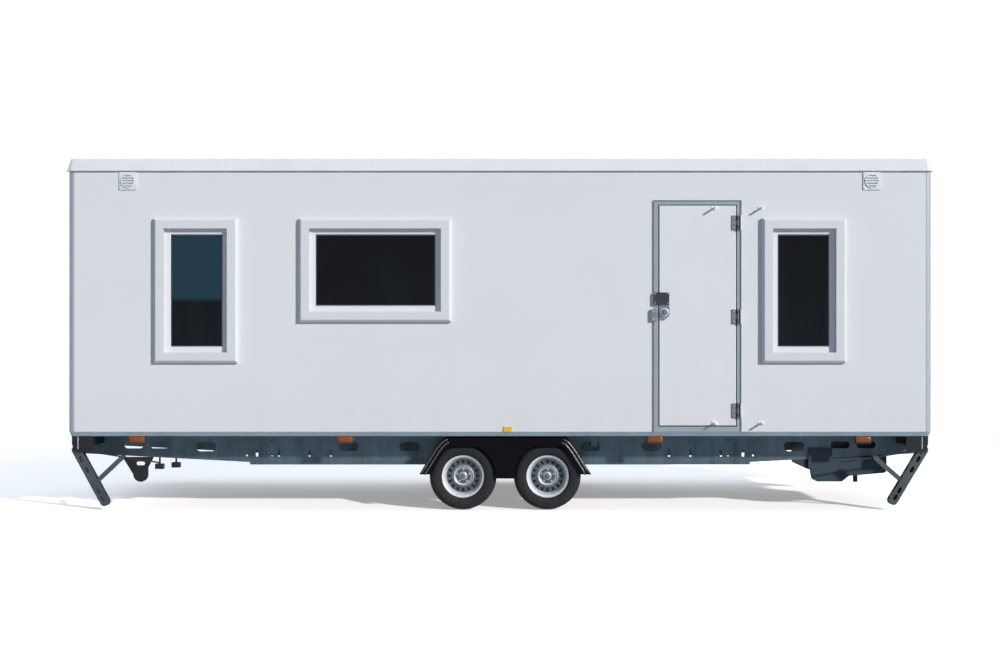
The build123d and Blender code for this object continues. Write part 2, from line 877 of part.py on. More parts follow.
# Door holders: buffers on stems, a pair on the leaf and a pair on the wall that they meet
def holders(x, base_y):
    """Two turned buffers on a face at base_y, near the head and the foot of the leaf."""
    tip_y = front_y - catch_reach
    with BuildPart() as pair:
        for z in (leaf_foot_z + catch_edge, leaf_top_z - catch_edge):
            stem = base_y - tip_y
            for radius, length in ((catch_foot_radius, catch_foot), (catch_stem_radius, stem)):
                with BuildSketch(upright(base_y)):
                    with Locations((x, z)):
                        Circle(radius)
                extrude(amount=length)
            with BuildSketch(upright(tip_y + catch_head_length)):
                with Locations((x, z)):
                    SlotOverall(*catch_head)
            extrude(amount=catch_head_length)
    return pair


save(holders(hinge_x - catch_arm_x, front_y - leaf_stand), "door_holders")
save(holders(hinge_x + catch_arm_x, front_y), "wall_holders")

# Lock: a dark case whose hood laps the frame, a grip on its plate, and a keeper on the frame
with BuildPart() as lock_case:
    case_y = front_y - leaf_stand
    with BuildSketch(upright(case_y)):
        with Locations((leaf_left_x + lock_width / 2, lock_bottom_z + lock_height / 2)):
            Rectangle(lock_width, lock_height)
    extrude(amount=lock_depth)
    with BuildSketch(upright(case_y - knuckle_clear)):
        with Locations((leaf_left_x + (lock_width - lock_hood) / 2, lock_bottom_z + lock_height / 2)):
            Rectangle(lock_width + lock_hood, lock_height)
    extrude(amount=lock_depth - knuckle_clear)
save(lock_case, "lock_case")

with BuildPart() as door_grip:
    plate_middle = (leaf_left_x + grip_plate_width / 2, lock_bottom_z - grip_plate_height / 2)
    with BuildSketch(upright(case_y)) as grip_plate:
        with Locations(plate_middle):
            Rectangle(grip_plate_width, grip_plate_height)
        chamfer(grip_plate.vertices().group_by(Axis.Y)[0].sort_by(Axis.X)[-1], grip_plate_cut)
    extrude(amount=grip_plate_depth)
    with BuildSketch(upright(case_y - grip_plate_depth + grip_cup_depth)):
        with Locations(plate_middle):
            Circle(grip_cup_radius)
    extrude(amount=grip_cup_depth, mode=Mode.SUBTRACT)
    with BuildSketch(upright(case_y - grip_plate_depth + grip_cup_depth)):
        with Locations(plate_middle):
            Circle(grip_radius)
    extrude(amount=grip_depth)
    with BuildSketch(upright(case_y - grip_plate_depth + grip_cup_depth - grip_depth)):
        with Locations(plate_middle):
            SlotOverall(*grip_bar, rotation=90)
    extrude(amount=grip_bar_depth)
save(door_grip, "door_grip")

with BuildPart() as lock_keeper:
    with BuildSketch(upright(case_y)):
        with Locations((frame_left_x - keeper_overlap + keeper_width / 2, lock_bottom_z - keeper_drop)):
            Rectangle(keeper_width, keeper_height)
    extrude(amount=keeper_depth)
save(lock_keeper, "lock_keeper")

# Vents: a square plate with a round louvred boss, two on each long wall
vent_x = body_length / 2 - vent_end_gap
with BuildPart() as front_vents:
    with BuildSketch(upright(front_y)):
        with Locations((-vent_x, vent_z), (vent_x, vent_z)):
            RectangleRounded(vent_plate_width, vent_plate_height, vent_plate_corner)
    extrude(amount=vent_plate_depth)
    with BuildSketch(upright(front_y - vent_plate_depth)):
        with Locations((-vent_x, vent_z), (vent_x, vent_z)):
            Circle(vent_round_radius)
    extrude(amount=vent_round_depth)
    with BuildSketch(upright(front_y - vent_plate_depth - vent_round_depth)):
        for step in (-2, -1, 0, 1, 2):
            rise = step * louvre_pitch
            chord = 2 * ((vent_round_radius - louvre_margin) ** 2 - rise ** 2) ** 0.5
            with Locations((-vent_x, vent_z + rise), (vent_x, vent_z + rise)):
                Rectangle(chord, louvre_slot)
    extrude(amount=-(vent_round_depth + vent_plate_depth / 2), mode=Mode.SUBTRACT)
save(both_sides(front_vents), "vents")

# Side marker lamps under the base trims, and a reflector at the foot of each long wall
with BuildPart() as marker_lamps:
    lamp_y = front_y + trim_undercut + lamp_setback
    lamp_places = (lamp_inner_x, body_length / 2 - lamp_end_gap)
    with BuildSketch(upright(lamp_y)):
        for x in lamp_places:
            with Locations((-x, deck_z - lamp_height / 2), (x, deck_z - lamp_height / 2)):
                Rectangle(lamp_width, lamp_height)
    extrude(amount=-lamp_depth)
    fillet(marker_lamps.faces().filter_by(Axis.Y).group_by(Axis.Y)[0].edges(), lamp_radius)
    with BuildSketch(upright(front_y)):
        with Locations((reflector_x, wall_foot_z + reflector_height / 2)):
            Rectangle(reflector_width, reflector_height)
    extrude(amount=reflector_depth)
save(both_sides(marker_lamps), "marker_lamps")


# Outriggers: an inverted channel under the floor at each corner, with its plate outside
with BuildPart() as outriggers:
    for end in (-1, 1):
        outer_x = end * outrigger_x
        inner_x = end * (outrigger_x - outrigger_width)
        with BuildSketch(upright(outrigger_y)):
            with BuildLine():
                Polyline(
                    (outer_x, deck_z), (inner_x, deck_z), (inner_x, deck_z - outrigger_plate_height),
                    (outer_x - end * outrigger_plate_lean, deck_z - outrigger_plate_height), close=True,
                )
            make_face()
        extrude(amount=-outrigger_plate)
        middle_x = (outer_x + inner_x) / 2
        with BuildSketch(upright(outrigger_y + outrigger_plate)):
            with Locations((middle_x, deck_z - outrigger_height / 2)):
                Rectangle(outrigger_width, outrigger_height)
        extrude(amount=outrigger_y + outrigger_plate - rail_y)
        with BuildSketch(upright(outrigger_y + outrigger_plate)):
            with Locations((middle_x, deck_z - outrigger_sheet - outrigger_height / 2)):
                Rectangle(outrigger_width - 2 * outrigger_sheet, outrigger_height)
        extrude(amount=outrigger_y + outrigger_plate - rail_y, mode=Mode.SUBTRACT)
save(both_sides(outriggers), "outriggers")


# Corner steadies
def steady_plane(end, angle, reach=0):
    """The leg's own plane: x runs down the leg at angle below level, from the pivot."""
    lean = radians(angle)
    return Plane(
        origin=(
            end * (steady_x - reach * cos(lean)), steady_y, steady_pivot_z - reach * sin(lean),
        ),
        x_dir=(-end * cos(lean), 0, -sin(lean)),
        z_dir=(0, end, 0),
    )


def steady_leg(end, angle):
    """A pressed channel leg, open towards the screw, with slots in its outer cheek."""
    plane = steady_plane(end, angle)
    with BuildPart() as leg:
        with BuildSketch(plane.offset(-leg_width / 2)):
            with Locations((leg_reach / 2, 0)):
                SlotCenterToCenter(leg_reach, leg_depth)
        extrude(amount=leg_width)
        with BuildSketch(plane.offset(-leg_width / 2 + leg_sheet)):
            with Locations((leg_reach / 2, 0)):
                SlotCenterToCenter(leg_reach, leg_depth - 2 * leg_sheet)
            with Locations((leg_reach / 2, leg_depth / 2)):
                Rectangle(leg_reach + 2 * leg_depth, leg_depth)
        extrude(amount=leg_width - 2 * leg_sheet, mode=Mode.SUBTRACT)
        with BuildSketch(plane.offset(-leg_width / 2)):
            Circle(steady_pin_radius + pin_gap)
        extrude(amount=leg_width, mode=Mode.SUBTRACT)
        with BuildSketch(plane.offset(-end * leg_width / 2)):
            with Locations(*[(reach, 0) for reach in leg_hole_places]):
                SlotOverall(*leg_hole)
        extrude(amount=end * leg_width / 2, mode=Mode.SUBTRACT)
        with BuildSketch(plane.offset(-leg_width / 2)):
            with Locations((strut_reach, 0)):
                Circle(steady_pin_radius)
        extrude(amount=leg_width)
    return leg


def steady_strut(end, angle):
    """A channel strut from the leg's pin to the nut, as long as the leg's share above it."""
    relative = angle - steady_slope
    pin = steady_plane(end, angle, strut_reach)
    turn = radians(angle - 2 * relative)
    plane = Plane(origin=pin.origin, x_dir=(-end * cos(turn), 0, -sin(turn)), z_dir=(0, end, 0))
    cheek = strut_width / 2
    with BuildPart() as strut:
        for start in (-cheek, cheek - strut_sheet):
            with BuildSketch(plane.offset(start)):
                with Locations((strut_reach / 2, 0)):
                    SlotCenterToCenter(strut_reach, strut_depth)
                with Locations((0, 0), (strut_reach, 0)):
                    Circle(steady_pin_radius + pin_gap, mode=Mode.SUBTRACT)
            extrude(amount=strut_sheet)
        with BuildSketch(plane.offset(-cheek)):
            with Locations((strut_reach / 2, -(strut_depth - strut_web) / 2)):
                Rectangle(strut_reach - 2 * strut_depth, strut_web)
        extrude(amount=strut_width)
    return strut


def screw_plane(end, reach):
    """A plane square to the screw, reach along it from the pivot, facing the middle of the home."""
    lean = radians(steady_slope)
    return Plane(
        origin=(end * (steady_x - reach * cos(lean)), steady_y, steady_pivot_z - reach * sin(lean)),
        x_dir=(0, 1, 0),
        z_dir=(-end * cos(lean), 0, -sin(lean)),
    )


def steady_nut(end, angle):
    """The nut that runs on the screw, with a trunnion on each side for the strut."""
    place = 2 * strut_reach * cos(radians(angle - steady_slope))
    plane = steady_plane(end, steady_slope, place)
    with BuildPart() as nut:
        with BuildSketch(screw_plane(end, place - nut_length / 2)):
            Rectangle(nut_width, nut_height)
        extrude(amount=nut_length)
        with BuildSketch(plane.offset(-strut_width / 2)):
            Circle(steady_pin_radius)
        extrude(amount=strut_width)
        with BuildSketch(screw_plane(end, place - nut_length / 2)):
            Circle(screw_radius + screw_gap)
        extrude(amount=nut_length, mode=Mode.SUBTRACT)
    return nut


def steady_bracket(end):
    """Two cheeks under the outrigger, the leg's pin and the block that bears the screw."""
    cheek_top = deck_z - outrigger_sheet
    cheek_foot = steady_pivot_z - cheek_drop
    pin_y = outrigger_y + outrigger_plate
    reach = leg_width / 2 + cheek_clear
    with BuildPart() as bracket:
        for cheek_y in (pin_y, steady_y + reach):
            with BuildSketch(upright(cheek_y)):
                with Locations((end * steady_x, (cheek_top + cheek_foot) / 2)):
                    Rectangle(cheek_width, cheek_top - cheek_foot)
            extrude(amount=-cheek_sheet)
        with BuildSketch(upright(pin_y)):
            with Locations((end * steady_x, steady_pivot_z)):
                Circle(steady_pin_radius)
        extrude(amount=-2 * (cheek_sheet + reach))
        with BuildSketch(upright(steady_y - nut_width)):
            with Locations((end * steady_x, steady_pivot_z)):
                Circle(bearing_radius)
        extrude(amount=-2 * nut_width)
        with BuildSketch(screw_plane(end, 0)):
            Rectangle(2 * nut_width, nut_height)
        extrude(amount=bearing_length)
    return bracket


def steady_screw(end):
    """The screw, from its bearing block towards the middle of the home."""
    with BuildPart() as screw:
        with BuildSketch(screw_plane(end, bearing_length)):
            Circle(screw_radius)
        extrude(amount=screw_length - bearing_length)
    return screw


with BuildPart() as steady_brackets:
    for end in (-1, 1):
        add(both_sides(steady_bracket(end)).part)
save(steady_brackets, "steady_brackets")
with BuildPart() as steady_screws:
    for end in (-1, 1):
        add(both_sides(steady_screw(end)).part)
save(steady_screws, "steady_screws")

for side, end in (("left", -1), ("right", 1)):
    for make, kind in ((steady_leg, "leg"), (steady_strut, "strut"), (steady_nut, "nut")):
        save(make(end, leg_angles[f"front_{side}"]), f"steady_{kind}_front_{side}")
        save(mirrored(make(end, leg_angles[f"back_{side}"])), f"steady_{kind}_back_{side}")

# Tank: a moulding between the rails, with a deep sump and a tab that come out past the front rail
with BuildPart() as tank:
    inner_y = rail_y + rail_flange + tank_clear
    sump_y = rail_y - sump_stand
    with BuildSketch(upright(inner_y)) as body_profile:
        with BuildLine():
            Polyline(
                (tank_left_x, deck_z), (tank_left_x, tank_left_z), (sump_right_x, tank_step_z),
                (tank_right_x, tank_right_z), (tank_right_x, deck_z), close=True,
            )
        make_face()
        fillet(body_profile.vertices().filter_by(lambda corner: corner.Y < deck_z), tank_round)
    extrude(amount=-tank_depth)
    with BuildSketch(upright(sump_y)) as sump_profile:
        with BuildLine():
            Polyline(
                (sump_left_x, rail_underside(sump_left_x) - sump_gap),
                (sump_left_x + sump_lean, sump_foot_z), (sump_left_x + sump_lean + sump_flat, sump_foot_z),
                (sump_right_x, tank_step_z), (tank_right_x, tank_right_z),
                (tank_right_x, rail_underside(tank_right_x) - sump_gap), close=True,
            )
        make_face()
        fillet(sump_profile.vertices().filter_by(lambda corner: corner.Y < tank_left_z), tank_round)
    extrude(amount=sump_y - inner_y - outlet_inset)
    tab_x = tank_left_x + tank_tab_left + tank_tab_width / 2
    with BuildSketch(upright(sump_y)):
        with Locations((tab_x, (tank_tab_top + tank_left_z) / 2)):
            Rectangle(tank_tab_width, tank_tab_top - tank_left_z)
    extrude(amount=-sump_stand)
    with BuildSketch(Plane.XY.offset(outlet_foot_z)):
        with Locations((tank_left_x + outlet_reach, inner_y + outlet_inset)):
            Circle(outlet_radius)
    extrude(amount=tank_left_z - outlet_foot_z)
save(tank, "tank")

# Hanging bracket under the front rail: a plate with two openings and a round lower lobe
with BuildPart() as hanging_bracket:
    bracket_top = rail_underside(bracket_x + bracket_right)
    with BuildSketch(upright(rail_y + bracket_plate + rail_sheet)):
        with BuildLine():
            Polyline(
                (bracket_x - bracket_left, bracket_top), (bracket_x - bracket_lobe_radius, bracket_lobe_z),
                (bracket_x + bracket_lobe_radius, bracket_lobe_z),
                (bracket_x + bracket_lobe_radius, bracket_top - bracket_shoulder),
                (bracket_x + bracket_right, bracket_top), close=True,
            )
        make_face()
        with Locations((bracket_x, bracket_lobe_z)):
            Circle(bracket_lobe_radius)
        with Locations((bracket_x, bracket_top - bracket_slot_drop)):
            SlotOverall(*bracket_slot, mode=Mode.SUBTRACT)
    extrude(amount=bracket_plate)
save(hanging_bracket, "hanging_bracket")

# Two capped drain stubs on stalks under the front rail
with BuildPart() as drain_stubs:
    for gap, foot in stub_places:
        x = gap - rail_end_x
        with BuildSketch(Plane.XY.offset(foot)):
            with Locations((x, rail_y + rail_flange / 2)):
                Rectangle(stub_width, stub_depth)
        extrude(amount=stub_height)
        with BuildSketch(Plane.XY.offset(foot + stub_height)):
            with Locations((x, rail_y + rail_flange / 2)):
                Circle(stub_stalk_radius)
        extrude(amount=rail_underside(abs(x) - stub_stalk_radius) - foot - stub_height)
save(drain_stubs, "drain_stubs")
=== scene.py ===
import math
import bmesh
import bpy
import numpy as np
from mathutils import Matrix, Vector


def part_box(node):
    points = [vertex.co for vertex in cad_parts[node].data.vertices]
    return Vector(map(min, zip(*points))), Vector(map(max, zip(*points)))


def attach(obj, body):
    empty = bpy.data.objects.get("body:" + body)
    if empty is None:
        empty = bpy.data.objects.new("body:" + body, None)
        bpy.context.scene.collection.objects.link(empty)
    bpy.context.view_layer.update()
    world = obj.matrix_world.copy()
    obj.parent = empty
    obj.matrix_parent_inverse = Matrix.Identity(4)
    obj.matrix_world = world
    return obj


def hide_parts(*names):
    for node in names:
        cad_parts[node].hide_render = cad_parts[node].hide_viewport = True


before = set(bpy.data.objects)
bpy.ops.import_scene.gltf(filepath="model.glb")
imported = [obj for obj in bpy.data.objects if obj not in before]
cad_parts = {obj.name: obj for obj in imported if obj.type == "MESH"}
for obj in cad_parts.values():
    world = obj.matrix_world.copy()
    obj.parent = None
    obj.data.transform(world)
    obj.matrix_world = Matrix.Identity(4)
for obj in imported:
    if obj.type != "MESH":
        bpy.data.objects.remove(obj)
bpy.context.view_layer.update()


# The view: a level camera at eye height, twelve metres in front of the door side. Its lens takes in
# the whole home with a little room round it.
def add_object(name, data):
    """Put a new object, made from a camera, a lamp or a mesh, in the scene."""
    made = bpy.data.objects.new(name, data)
    bpy.context.scene.collection.objects.link(made)
    return made


front_y, back_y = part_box("front_wall_left")[0][1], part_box("back_wall")[1][1]
eye_height, eye_distance = 1.670, 12.0
eye = add_object("eye", bpy.data.cameras.new("eye"))
eye.data.lens = 46.5
eye.data.sensor_width = 36.0
eye.location = (0.0, front_y - eye_distance, eye_height)
eye.rotation_euler = (math.radians(90), 0.0, 0.0)
bpy.context.scene.camera = eye
bpy.context.scene.view_settings.view_transform = "Standard"


# The studio: one broad lamp from the upper right front, soft light all round and a pale floor.
# The floor keeps the home's shadow and fades into the white backdrop away from it.
def give(tree, socket, value):
    """Link an output to a socket, or set the socket to a plain value."""
    if isinstance(value, bpy.types.NodeSocket):
        tree.links.new(value, socket)
    else:
        socket.default_value = value


def wire(tree, kind, *values, settings=None, **sockets):
    """Add a node, and give its sockets their values or links, by order or by name."""
    node = tree.nodes.new(kind)
    for key, value in (settings or {}).items():
        setattr(node, key, value)
    for socket, value in zip(node.inputs, values):
        give(tree, socket, value)
    for key, value in sockets.items():
        give(tree, node.inputs[key], value)
    return node


def maths(tree, operation, *values):
    """The result of one sum on shader values, held between 0 and 1."""
    return wire(tree, "ShaderNodeMath", *values,
                settings={"operation": operation, "use_clamp": True}).outputs[0]


def ramp(tree, value, start, end, low=0.0, high=1.0, kind="LINEAR"):
    """Low where a value is at start, high where it is at end, even between them and held beyond them."""
    return wire(tree, "ShaderNodeMapRange", value, start, end, low, high,
                settings={"interpolation_type": kind}).outputs[0]


def mixed(tree, amount, first, second):
    """The first colour where the amount is 0, and the second where it is 1."""
    node = wire(tree, "ShaderNodeMix", settings={"data_type": "RGBA"})
    for number, value in ((0, amount), (6, first), (7, second)):
        give(tree, node.inputs[number], value)
    return node.outputs[2]


def object_place(tree):
    """Where a point of the surface lies in the home, in metres."""
    return wire(tree, "ShaderNodeTexCoord").outputs["Object"]


def length_of(tree, place):
    """How far a place is from the origin."""
    return wire(tree, "ShaderNodeVectorMath", place, settings={"operation": "LENGTH"}).outputs["Value"]


def seen_rays(tree):
    """1 for rays that come from the camera, also by way of metal or glass, and 0 for all other light."""
    path = wire(tree, "ShaderNodeLightPath").outputs
    seen = maths(tree, "ADD", path["Is Camera Ray"], path["Is Glossy Ray"])
    return maths(tree, "ADD", seen, path["Is Transmission Ray"])


def grid_mesh(name, points, closed_u=False, closed_v=False):
    """A mesh on a grid of points[u, v]: each quad joins four neighbours, round again where closed.

    A first axis more holds several like grids. Points that fall together, as at a pole, are merged.
    """
    rows, columns = points.shape[-3:-1]
    index = np.arange(rows * columns).reshape(rows, columns)
    if closed_u:
        index = np.vstack([index, index[:1]])
    if closed_v:
        index = np.hstack([index, index[:, :1]])
    corners = [index[:-1, :-1], index[1:, :-1], index[1:, 1:], index[:-1, 1:]]
    quads = np.stack(corners, axis=-1).reshape(-1, 4)
    grids = np.arange(points.size // (3 * rows * columns))[:, None, None]
    quads = (quads[None] + rows * columns * grids).reshape(-1, 4)
    mesh = bpy.data.meshes.new(name)
    mesh.from_pydata(points.reshape(-1, 3).tolist(), [], quads.tolist())
    whole = bmesh.new()
    whole.from_mesh(mesh)
    bmesh.ops.remove_doubles(whole, verts=whole.verts, dist=0.00001)
    whole.to_mesh(mesh)
    whole.free()
    return add_object(name, mesh)


def add_sun(name, energy, spread, towards, colour=(1.0, 1.0, 1.0)):
    """A lamp whose light runs in one direction, softened by a spread in degrees."""
    sun = add_object(name, bpy.data.lights.new(name, "SUN"))
    sun.data.energy = energy
    sun.data.color = colour
    sun.data.angle = math.radians(spread)
    sun.rotation_mode = "QUATERNION"
    sun.rotation_quaternion = Vector(towards).to_track_quat("-Z", "Y")


add_sun("lamp", 4.12, 3, (-1.13, 1.0, -0.69), colour=(1.0, 0.948, 0.888))
add_sun("back_lamp", 1.7, 100, (0.5, -1.0, -1.1))

white = (1.0, 1.0, 1.0, 1.0)
world = bpy.data.worlds.new("studio")
world.use_nodes = True
bpy.context.scene.world = world
sky = world.node_tree
soft_light = wire(sky, "ShaderNodeBackground", (0.52, 0.73, 1.0, 1.0), 0.30)
backdrop = wire(sky, "ShaderNodeBackground", white, 1.0)
both = wire(sky, "ShaderNodeMixShader", seen_rays(sky), soft_light.outputs[0], backdrop.outputs[0])
give(sky, sky.nodes["World Output"].inputs["Surface"], both.outputs[0])

floor_x, floor_y = np.meshgrid(np.linspace(-90, 90, 3), np.linspace(-40, 120, 3), indexing="ij")
ground = grid_mesh("ground", np.stack([floor_x, floor_y, floor_x * 0], axis=-1))
pale_floor = bpy.data.materials.new("pale floor")
pale_floor.use_nodes = True
tree = pale_floor.node_tree
shader = tree.nodes["Principled BSDF"]
seen = seen_rays(tree)
fade_starts, fade_ends = 4.5, 9.0
fade = ramp(tree, length_of(tree, object_place(tree)), fade_starts, fade_ends, kind="SMOOTHSTEP")
give(tree, shader.inputs["Base Color"], mixed(tree, seen, (0.30, 0.31, 0.32, 1.0), white))
shader.inputs["Roughness"].default_value = 0.9
shader.inputs["Specular IOR Level"].default_value = 0.0
shader.inputs["Emission Color"].default_value = white
give(tree, shader.inputs["Emission Strength"], maths(tree, "MULTIPLY", seen, 0.3))
glow = wire(tree, "ShaderNodeEmission", white, 1.0)
both = wire(tree, "ShaderNodeMixShader", maths(tree, "MULTIPLY", seen, fade), shader.outputs[0],
            glow.outputs[0])
give(tree, tree.nodes["Material Output"].inputs["Surface"], both.outputs[0])
ground.data.materials.append(pale_floor)


# Wheels: four rubber tyres on pressed steel rims, each with its brake drum, bolts and grease cap.
# Road dust lies thinly on the rubber, and the silver paint of the rims is worn and stained.
def effect(name, inputs, outputs):
    """A shader node group with named sockets, for an effect that several finishes use."""
    group = bpy.data.node_groups.new(name, "ShaderNodeTree")
    for key, kind in inputs.items():
        group.interface.new_socket(key, in_out="INPUT", socket_type=kind)
    for key, kind in outputs.items():
        group.interface.new_socket(key, in_out="OUTPUT", socket_type=kind)
    return group, group.nodes.new("NodeGroupInput").outputs, group.nodes.new("NodeGroupOutput").inputs


COLOUR, NUMBER, PLACE = "NodeSocketColor", "NodeSocketFloat", "NodeSocketVector"

# Soil: cloudy stains all over, and streaks that grow stronger from a high level down to a low one.
soil, given, result = effect(
    "soil",
    {"Place": PLACE, "Clean": COLOUR, "Dirt": COLOUR, "Amount": NUMBER, "Low": NUMBER, "High": NUMBER,
     "Size": NUMBER},
    {"Colour": COLOUR, "Mask": NUMBER},
)
clouds = wire(soil, "ShaderNodeTexNoise", Vector=given["Place"], Scale=given["Size"], Detail=6.0,
              Roughness=0.62)
stretched = wire(soil, "ShaderNodeMapping", Vector=given["Place"], Scale=(3.0, 3.0, 0.35))
streaks = wire(soil, "ShaderNodeTexNoise", Vector=stretched.outputs[0], Scale=given["Size"], Detail=5.0,
               Roughness=0.7)
level = wire(soil, "ShaderNodeSeparateXYZ", given["Place"]).outputs["Z"]
foot = ramp(soil, level, given["High"], given["Low"])
spread = ramp(soil, clouds.outputs[0], 0.42, 0.72)
runs = ramp(soil, streaks.outputs[0], 0.38, 0.68, low=0.15)
low_part = maths(soil, "MULTIPLY", foot, runs)
all_over = maths(soil, "MULTIPLY", spread, 0.35)
mask = maths(soil, "MULTIPLY", maths(soil, "ADD", low_part, all_over), given["Amount"])
give(soil, result["Colour"], mixed(soil, mask, given["Clean"], given["Dirt"]))
give(soil, result["Mask"], mask)

# Grain: a fine bumpy skin, from orange peel in paint to the coarse skin of moulded rubber.
grain, given, result = effect("grain", {"Place": PLACE, "Size": NUMBER}, {"Height": NUMBER})
fine = wire(grain, "ShaderNodeTexNoise", Vector=given["Place"], Scale=given["Size"], Detail=3.0,
            Roughness=0.55)
give(grain, result["Height"], fine.outputs[0])


def use(tree, group, **values):
    """Place an effect in a material with its own values, and return its outputs."""
    node = tree.nodes.new("ShaderNodeGroup")
    node.node_tree = group
    for key, value in values.items():
        give(tree, node.inputs[key], value)
    return node.outputs


def finish(name, clean, dirt, rough, amount=0.3, low=0.3, high=0.9, size=2.0, skin=60.0, bump=0.1,
           depth=0.001, metal=0.0, coat=0.0, sheen=0.5):
    """A finish: a clean colour soiled from high down to low, with a skin whose bumps are depth deep."""
    made = bpy.data.materials.new(name)
    made.use_nodes = True
    tree = made.node_tree
    shader = tree.nodes["Principled BSDF"]
    place = object_place(tree)
    dirty = use(tree, soil, Place=place, Clean=(*clean, 1.0), Dirt=(*dirt, 1.0), Amount=amount, Low=low,
                High=high, Size=size)
    grainy = use(tree, grain, Place=place, Size=skin)
    rise = wire(tree, "ShaderNodeBump", Strength=bump, Distance=depth, Height=grainy["Height"])
    duller = ramp(tree, dirty["Mask"], 0.0, 1.0, low=rough, high=min(1.0, rough + 0.45))
    give(tree, shader.inputs["Base Color"], dirty["Colour"])
    give(tree, shader.inputs["Roughness"], duller)
    give(tree, shader.inputs["Normal"], rise.outputs[0])
    shader.inputs["Metallic"].default_value = metal
    shader.inputs["Specular IOR Level"].default_value = sheen
    shader.inputs["Coat Weight"].default_value = coat
    return made


def tint(made, *parts):
    """Lay more colours over a finish, each by its own amount, which changes over the surface."""
    tree = made.node_tree
    base = tree.nodes["Principled BSDF"].inputs["Base Color"]
    colour = base.links[0].from_socket
    for amount, tone in parts:
        colour = mixed(tree, amount, colour, (*tone, 1.0))
    give(tree, base, colour)


def dress(made, *nodes):
    """Put a finish on CAD nodes."""
    for node in nodes:
        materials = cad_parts[node].data.materials
        materials.clear()
        materials.append(made)


def place_on(piece, made, body):
    """Finish a new piece, and let it ride on a body."""
    piece.data.materials.clear()
    piece.data.materials.append(made)
    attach(piece, body)


def full_turn(count):
    """Evenly spaced angles once round, from 0, in radians."""
    return np.linspace(0, 2 * np.pi, count, endpoint=False)


def box_middle(node):
    """The middle of a CAD node's box."""
    low, high = (np.array(corner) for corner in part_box(node))
    return (low + high) / 2


hub_z, axles_middle_x, half_axle_spacing = 0.315, 0.049, 0.3955


def tyre_surface(name, x, y, outward):
    """A closed ring: a place on the tyre's section, v, is turned about the stub by the angle u.

    The section runs from the inner bead over the sidewall, shoulder and tread to the outer bead. In the
    tread the radius drops into four grooves that run round the tyre, and into cross cuts that lean with
    the angle and deepen towards the shoulders. Each sidewall carries two low rings.
    """
    half_tread, shoulder, crown = 72, 301, 13.5
    across = np.array([-56, -60, -71, -80.5, -88, -92.3, -90.5, -84, -72,
                       72, 84, 90.5, 92.3, 88, 80.5, 71, 60, 56])
    radius = np.array([178.4, 190, 201.5, 205, 220, 250, 270, 287, 301,
                       301, 287, 270, 250, 220, 205, 201.5, 190, 178.4])
    steps = np.array([0, 3, 6, 9, 13, 20, 26, 31, 34, 74, 77, 82, 88, 95, 99, 102, 105, 108])
    along = np.arange(109)
    wide, tall = np.interp(along, steps, across), np.interp(along, steps, radius)
    for _ in range(2):
        wide[1:-1] = (wide[:-2] + 2 * wide[1:-1] + wide[2:]) / 4
        tall[1:-1] = (tall[:-2] + 2 * tall[1:-1] + tall[2:]) / 4
    tread = (along > 33) & (along < 75)
    tall = np.where(tread, shoulder + crown * (1 - (wide / half_tread) ** 2), tall)
    turn = full_turn(288)[:, None]
    groove_places = np.array([-46, -16, 16, 46])[:, None]
    grooves = np.max(np.clip(1.4 - np.abs(wide - groove_places) / 3.2, 0, 1), axis=0)
    lean = 72 * turn + np.abs(wide) * 0.055
    cuts = np.clip((np.cos(lean) - 0.55) * 4, 0, 1) * np.clip((np.abs(wide) - 21) / 6, 0, 1)
    cut_band = (along > 28) & (along < 80)
    depth = np.maximum(np.where(tread, grooves * 7.0, 0.0), np.where(cut_band, cuts * 4.5, 0.0))
    rings = 1.1 * np.exp(-((tall - 282) / 1.8) ** 2) + 1.1 * np.exp(-((tall - 226) / 1.8) ** 2)
    push = np.where(tread, 0.0, np.sign(wide) * rings)
    reach = tall - depth
    section = y + outward * (wide + push) / 1000 + 0 * turn
    points = [x + reach * np.cos(turn) / 1000, section, hub_z + reach * np.sin(turn) / 1000]
    return grid_mesh(name, np.stack(points, axis=-1)[::outward], closed_u=True, closed_v=True)


wheels = [f"{side}_{place}" for side in ("front", "back") for place in ("leading", "trailing")]
rubber = finish("tyre rubber", (0.009, 0.010, 0.013), (0.055, 0.052, 0.048), 0.75, amount=0.3, low=0.0,
                high=0.5, size=9.0, skin=180.0, bump=0.5, depth=0.002, sheen=0.25)
for wheel in wheels:
    middle = box_middle(f"tyre_{wheel}")
    tyre = tyre_surface(f"treaded_tyre_{wheel}", middle[0], middle[1], 1 if "back" in wheel else -1)
    tyre.data.shade_smooth()
    place_on(tyre, rubber, f"wheel_{wheel}")
    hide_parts(f"tyre_{wheel}")


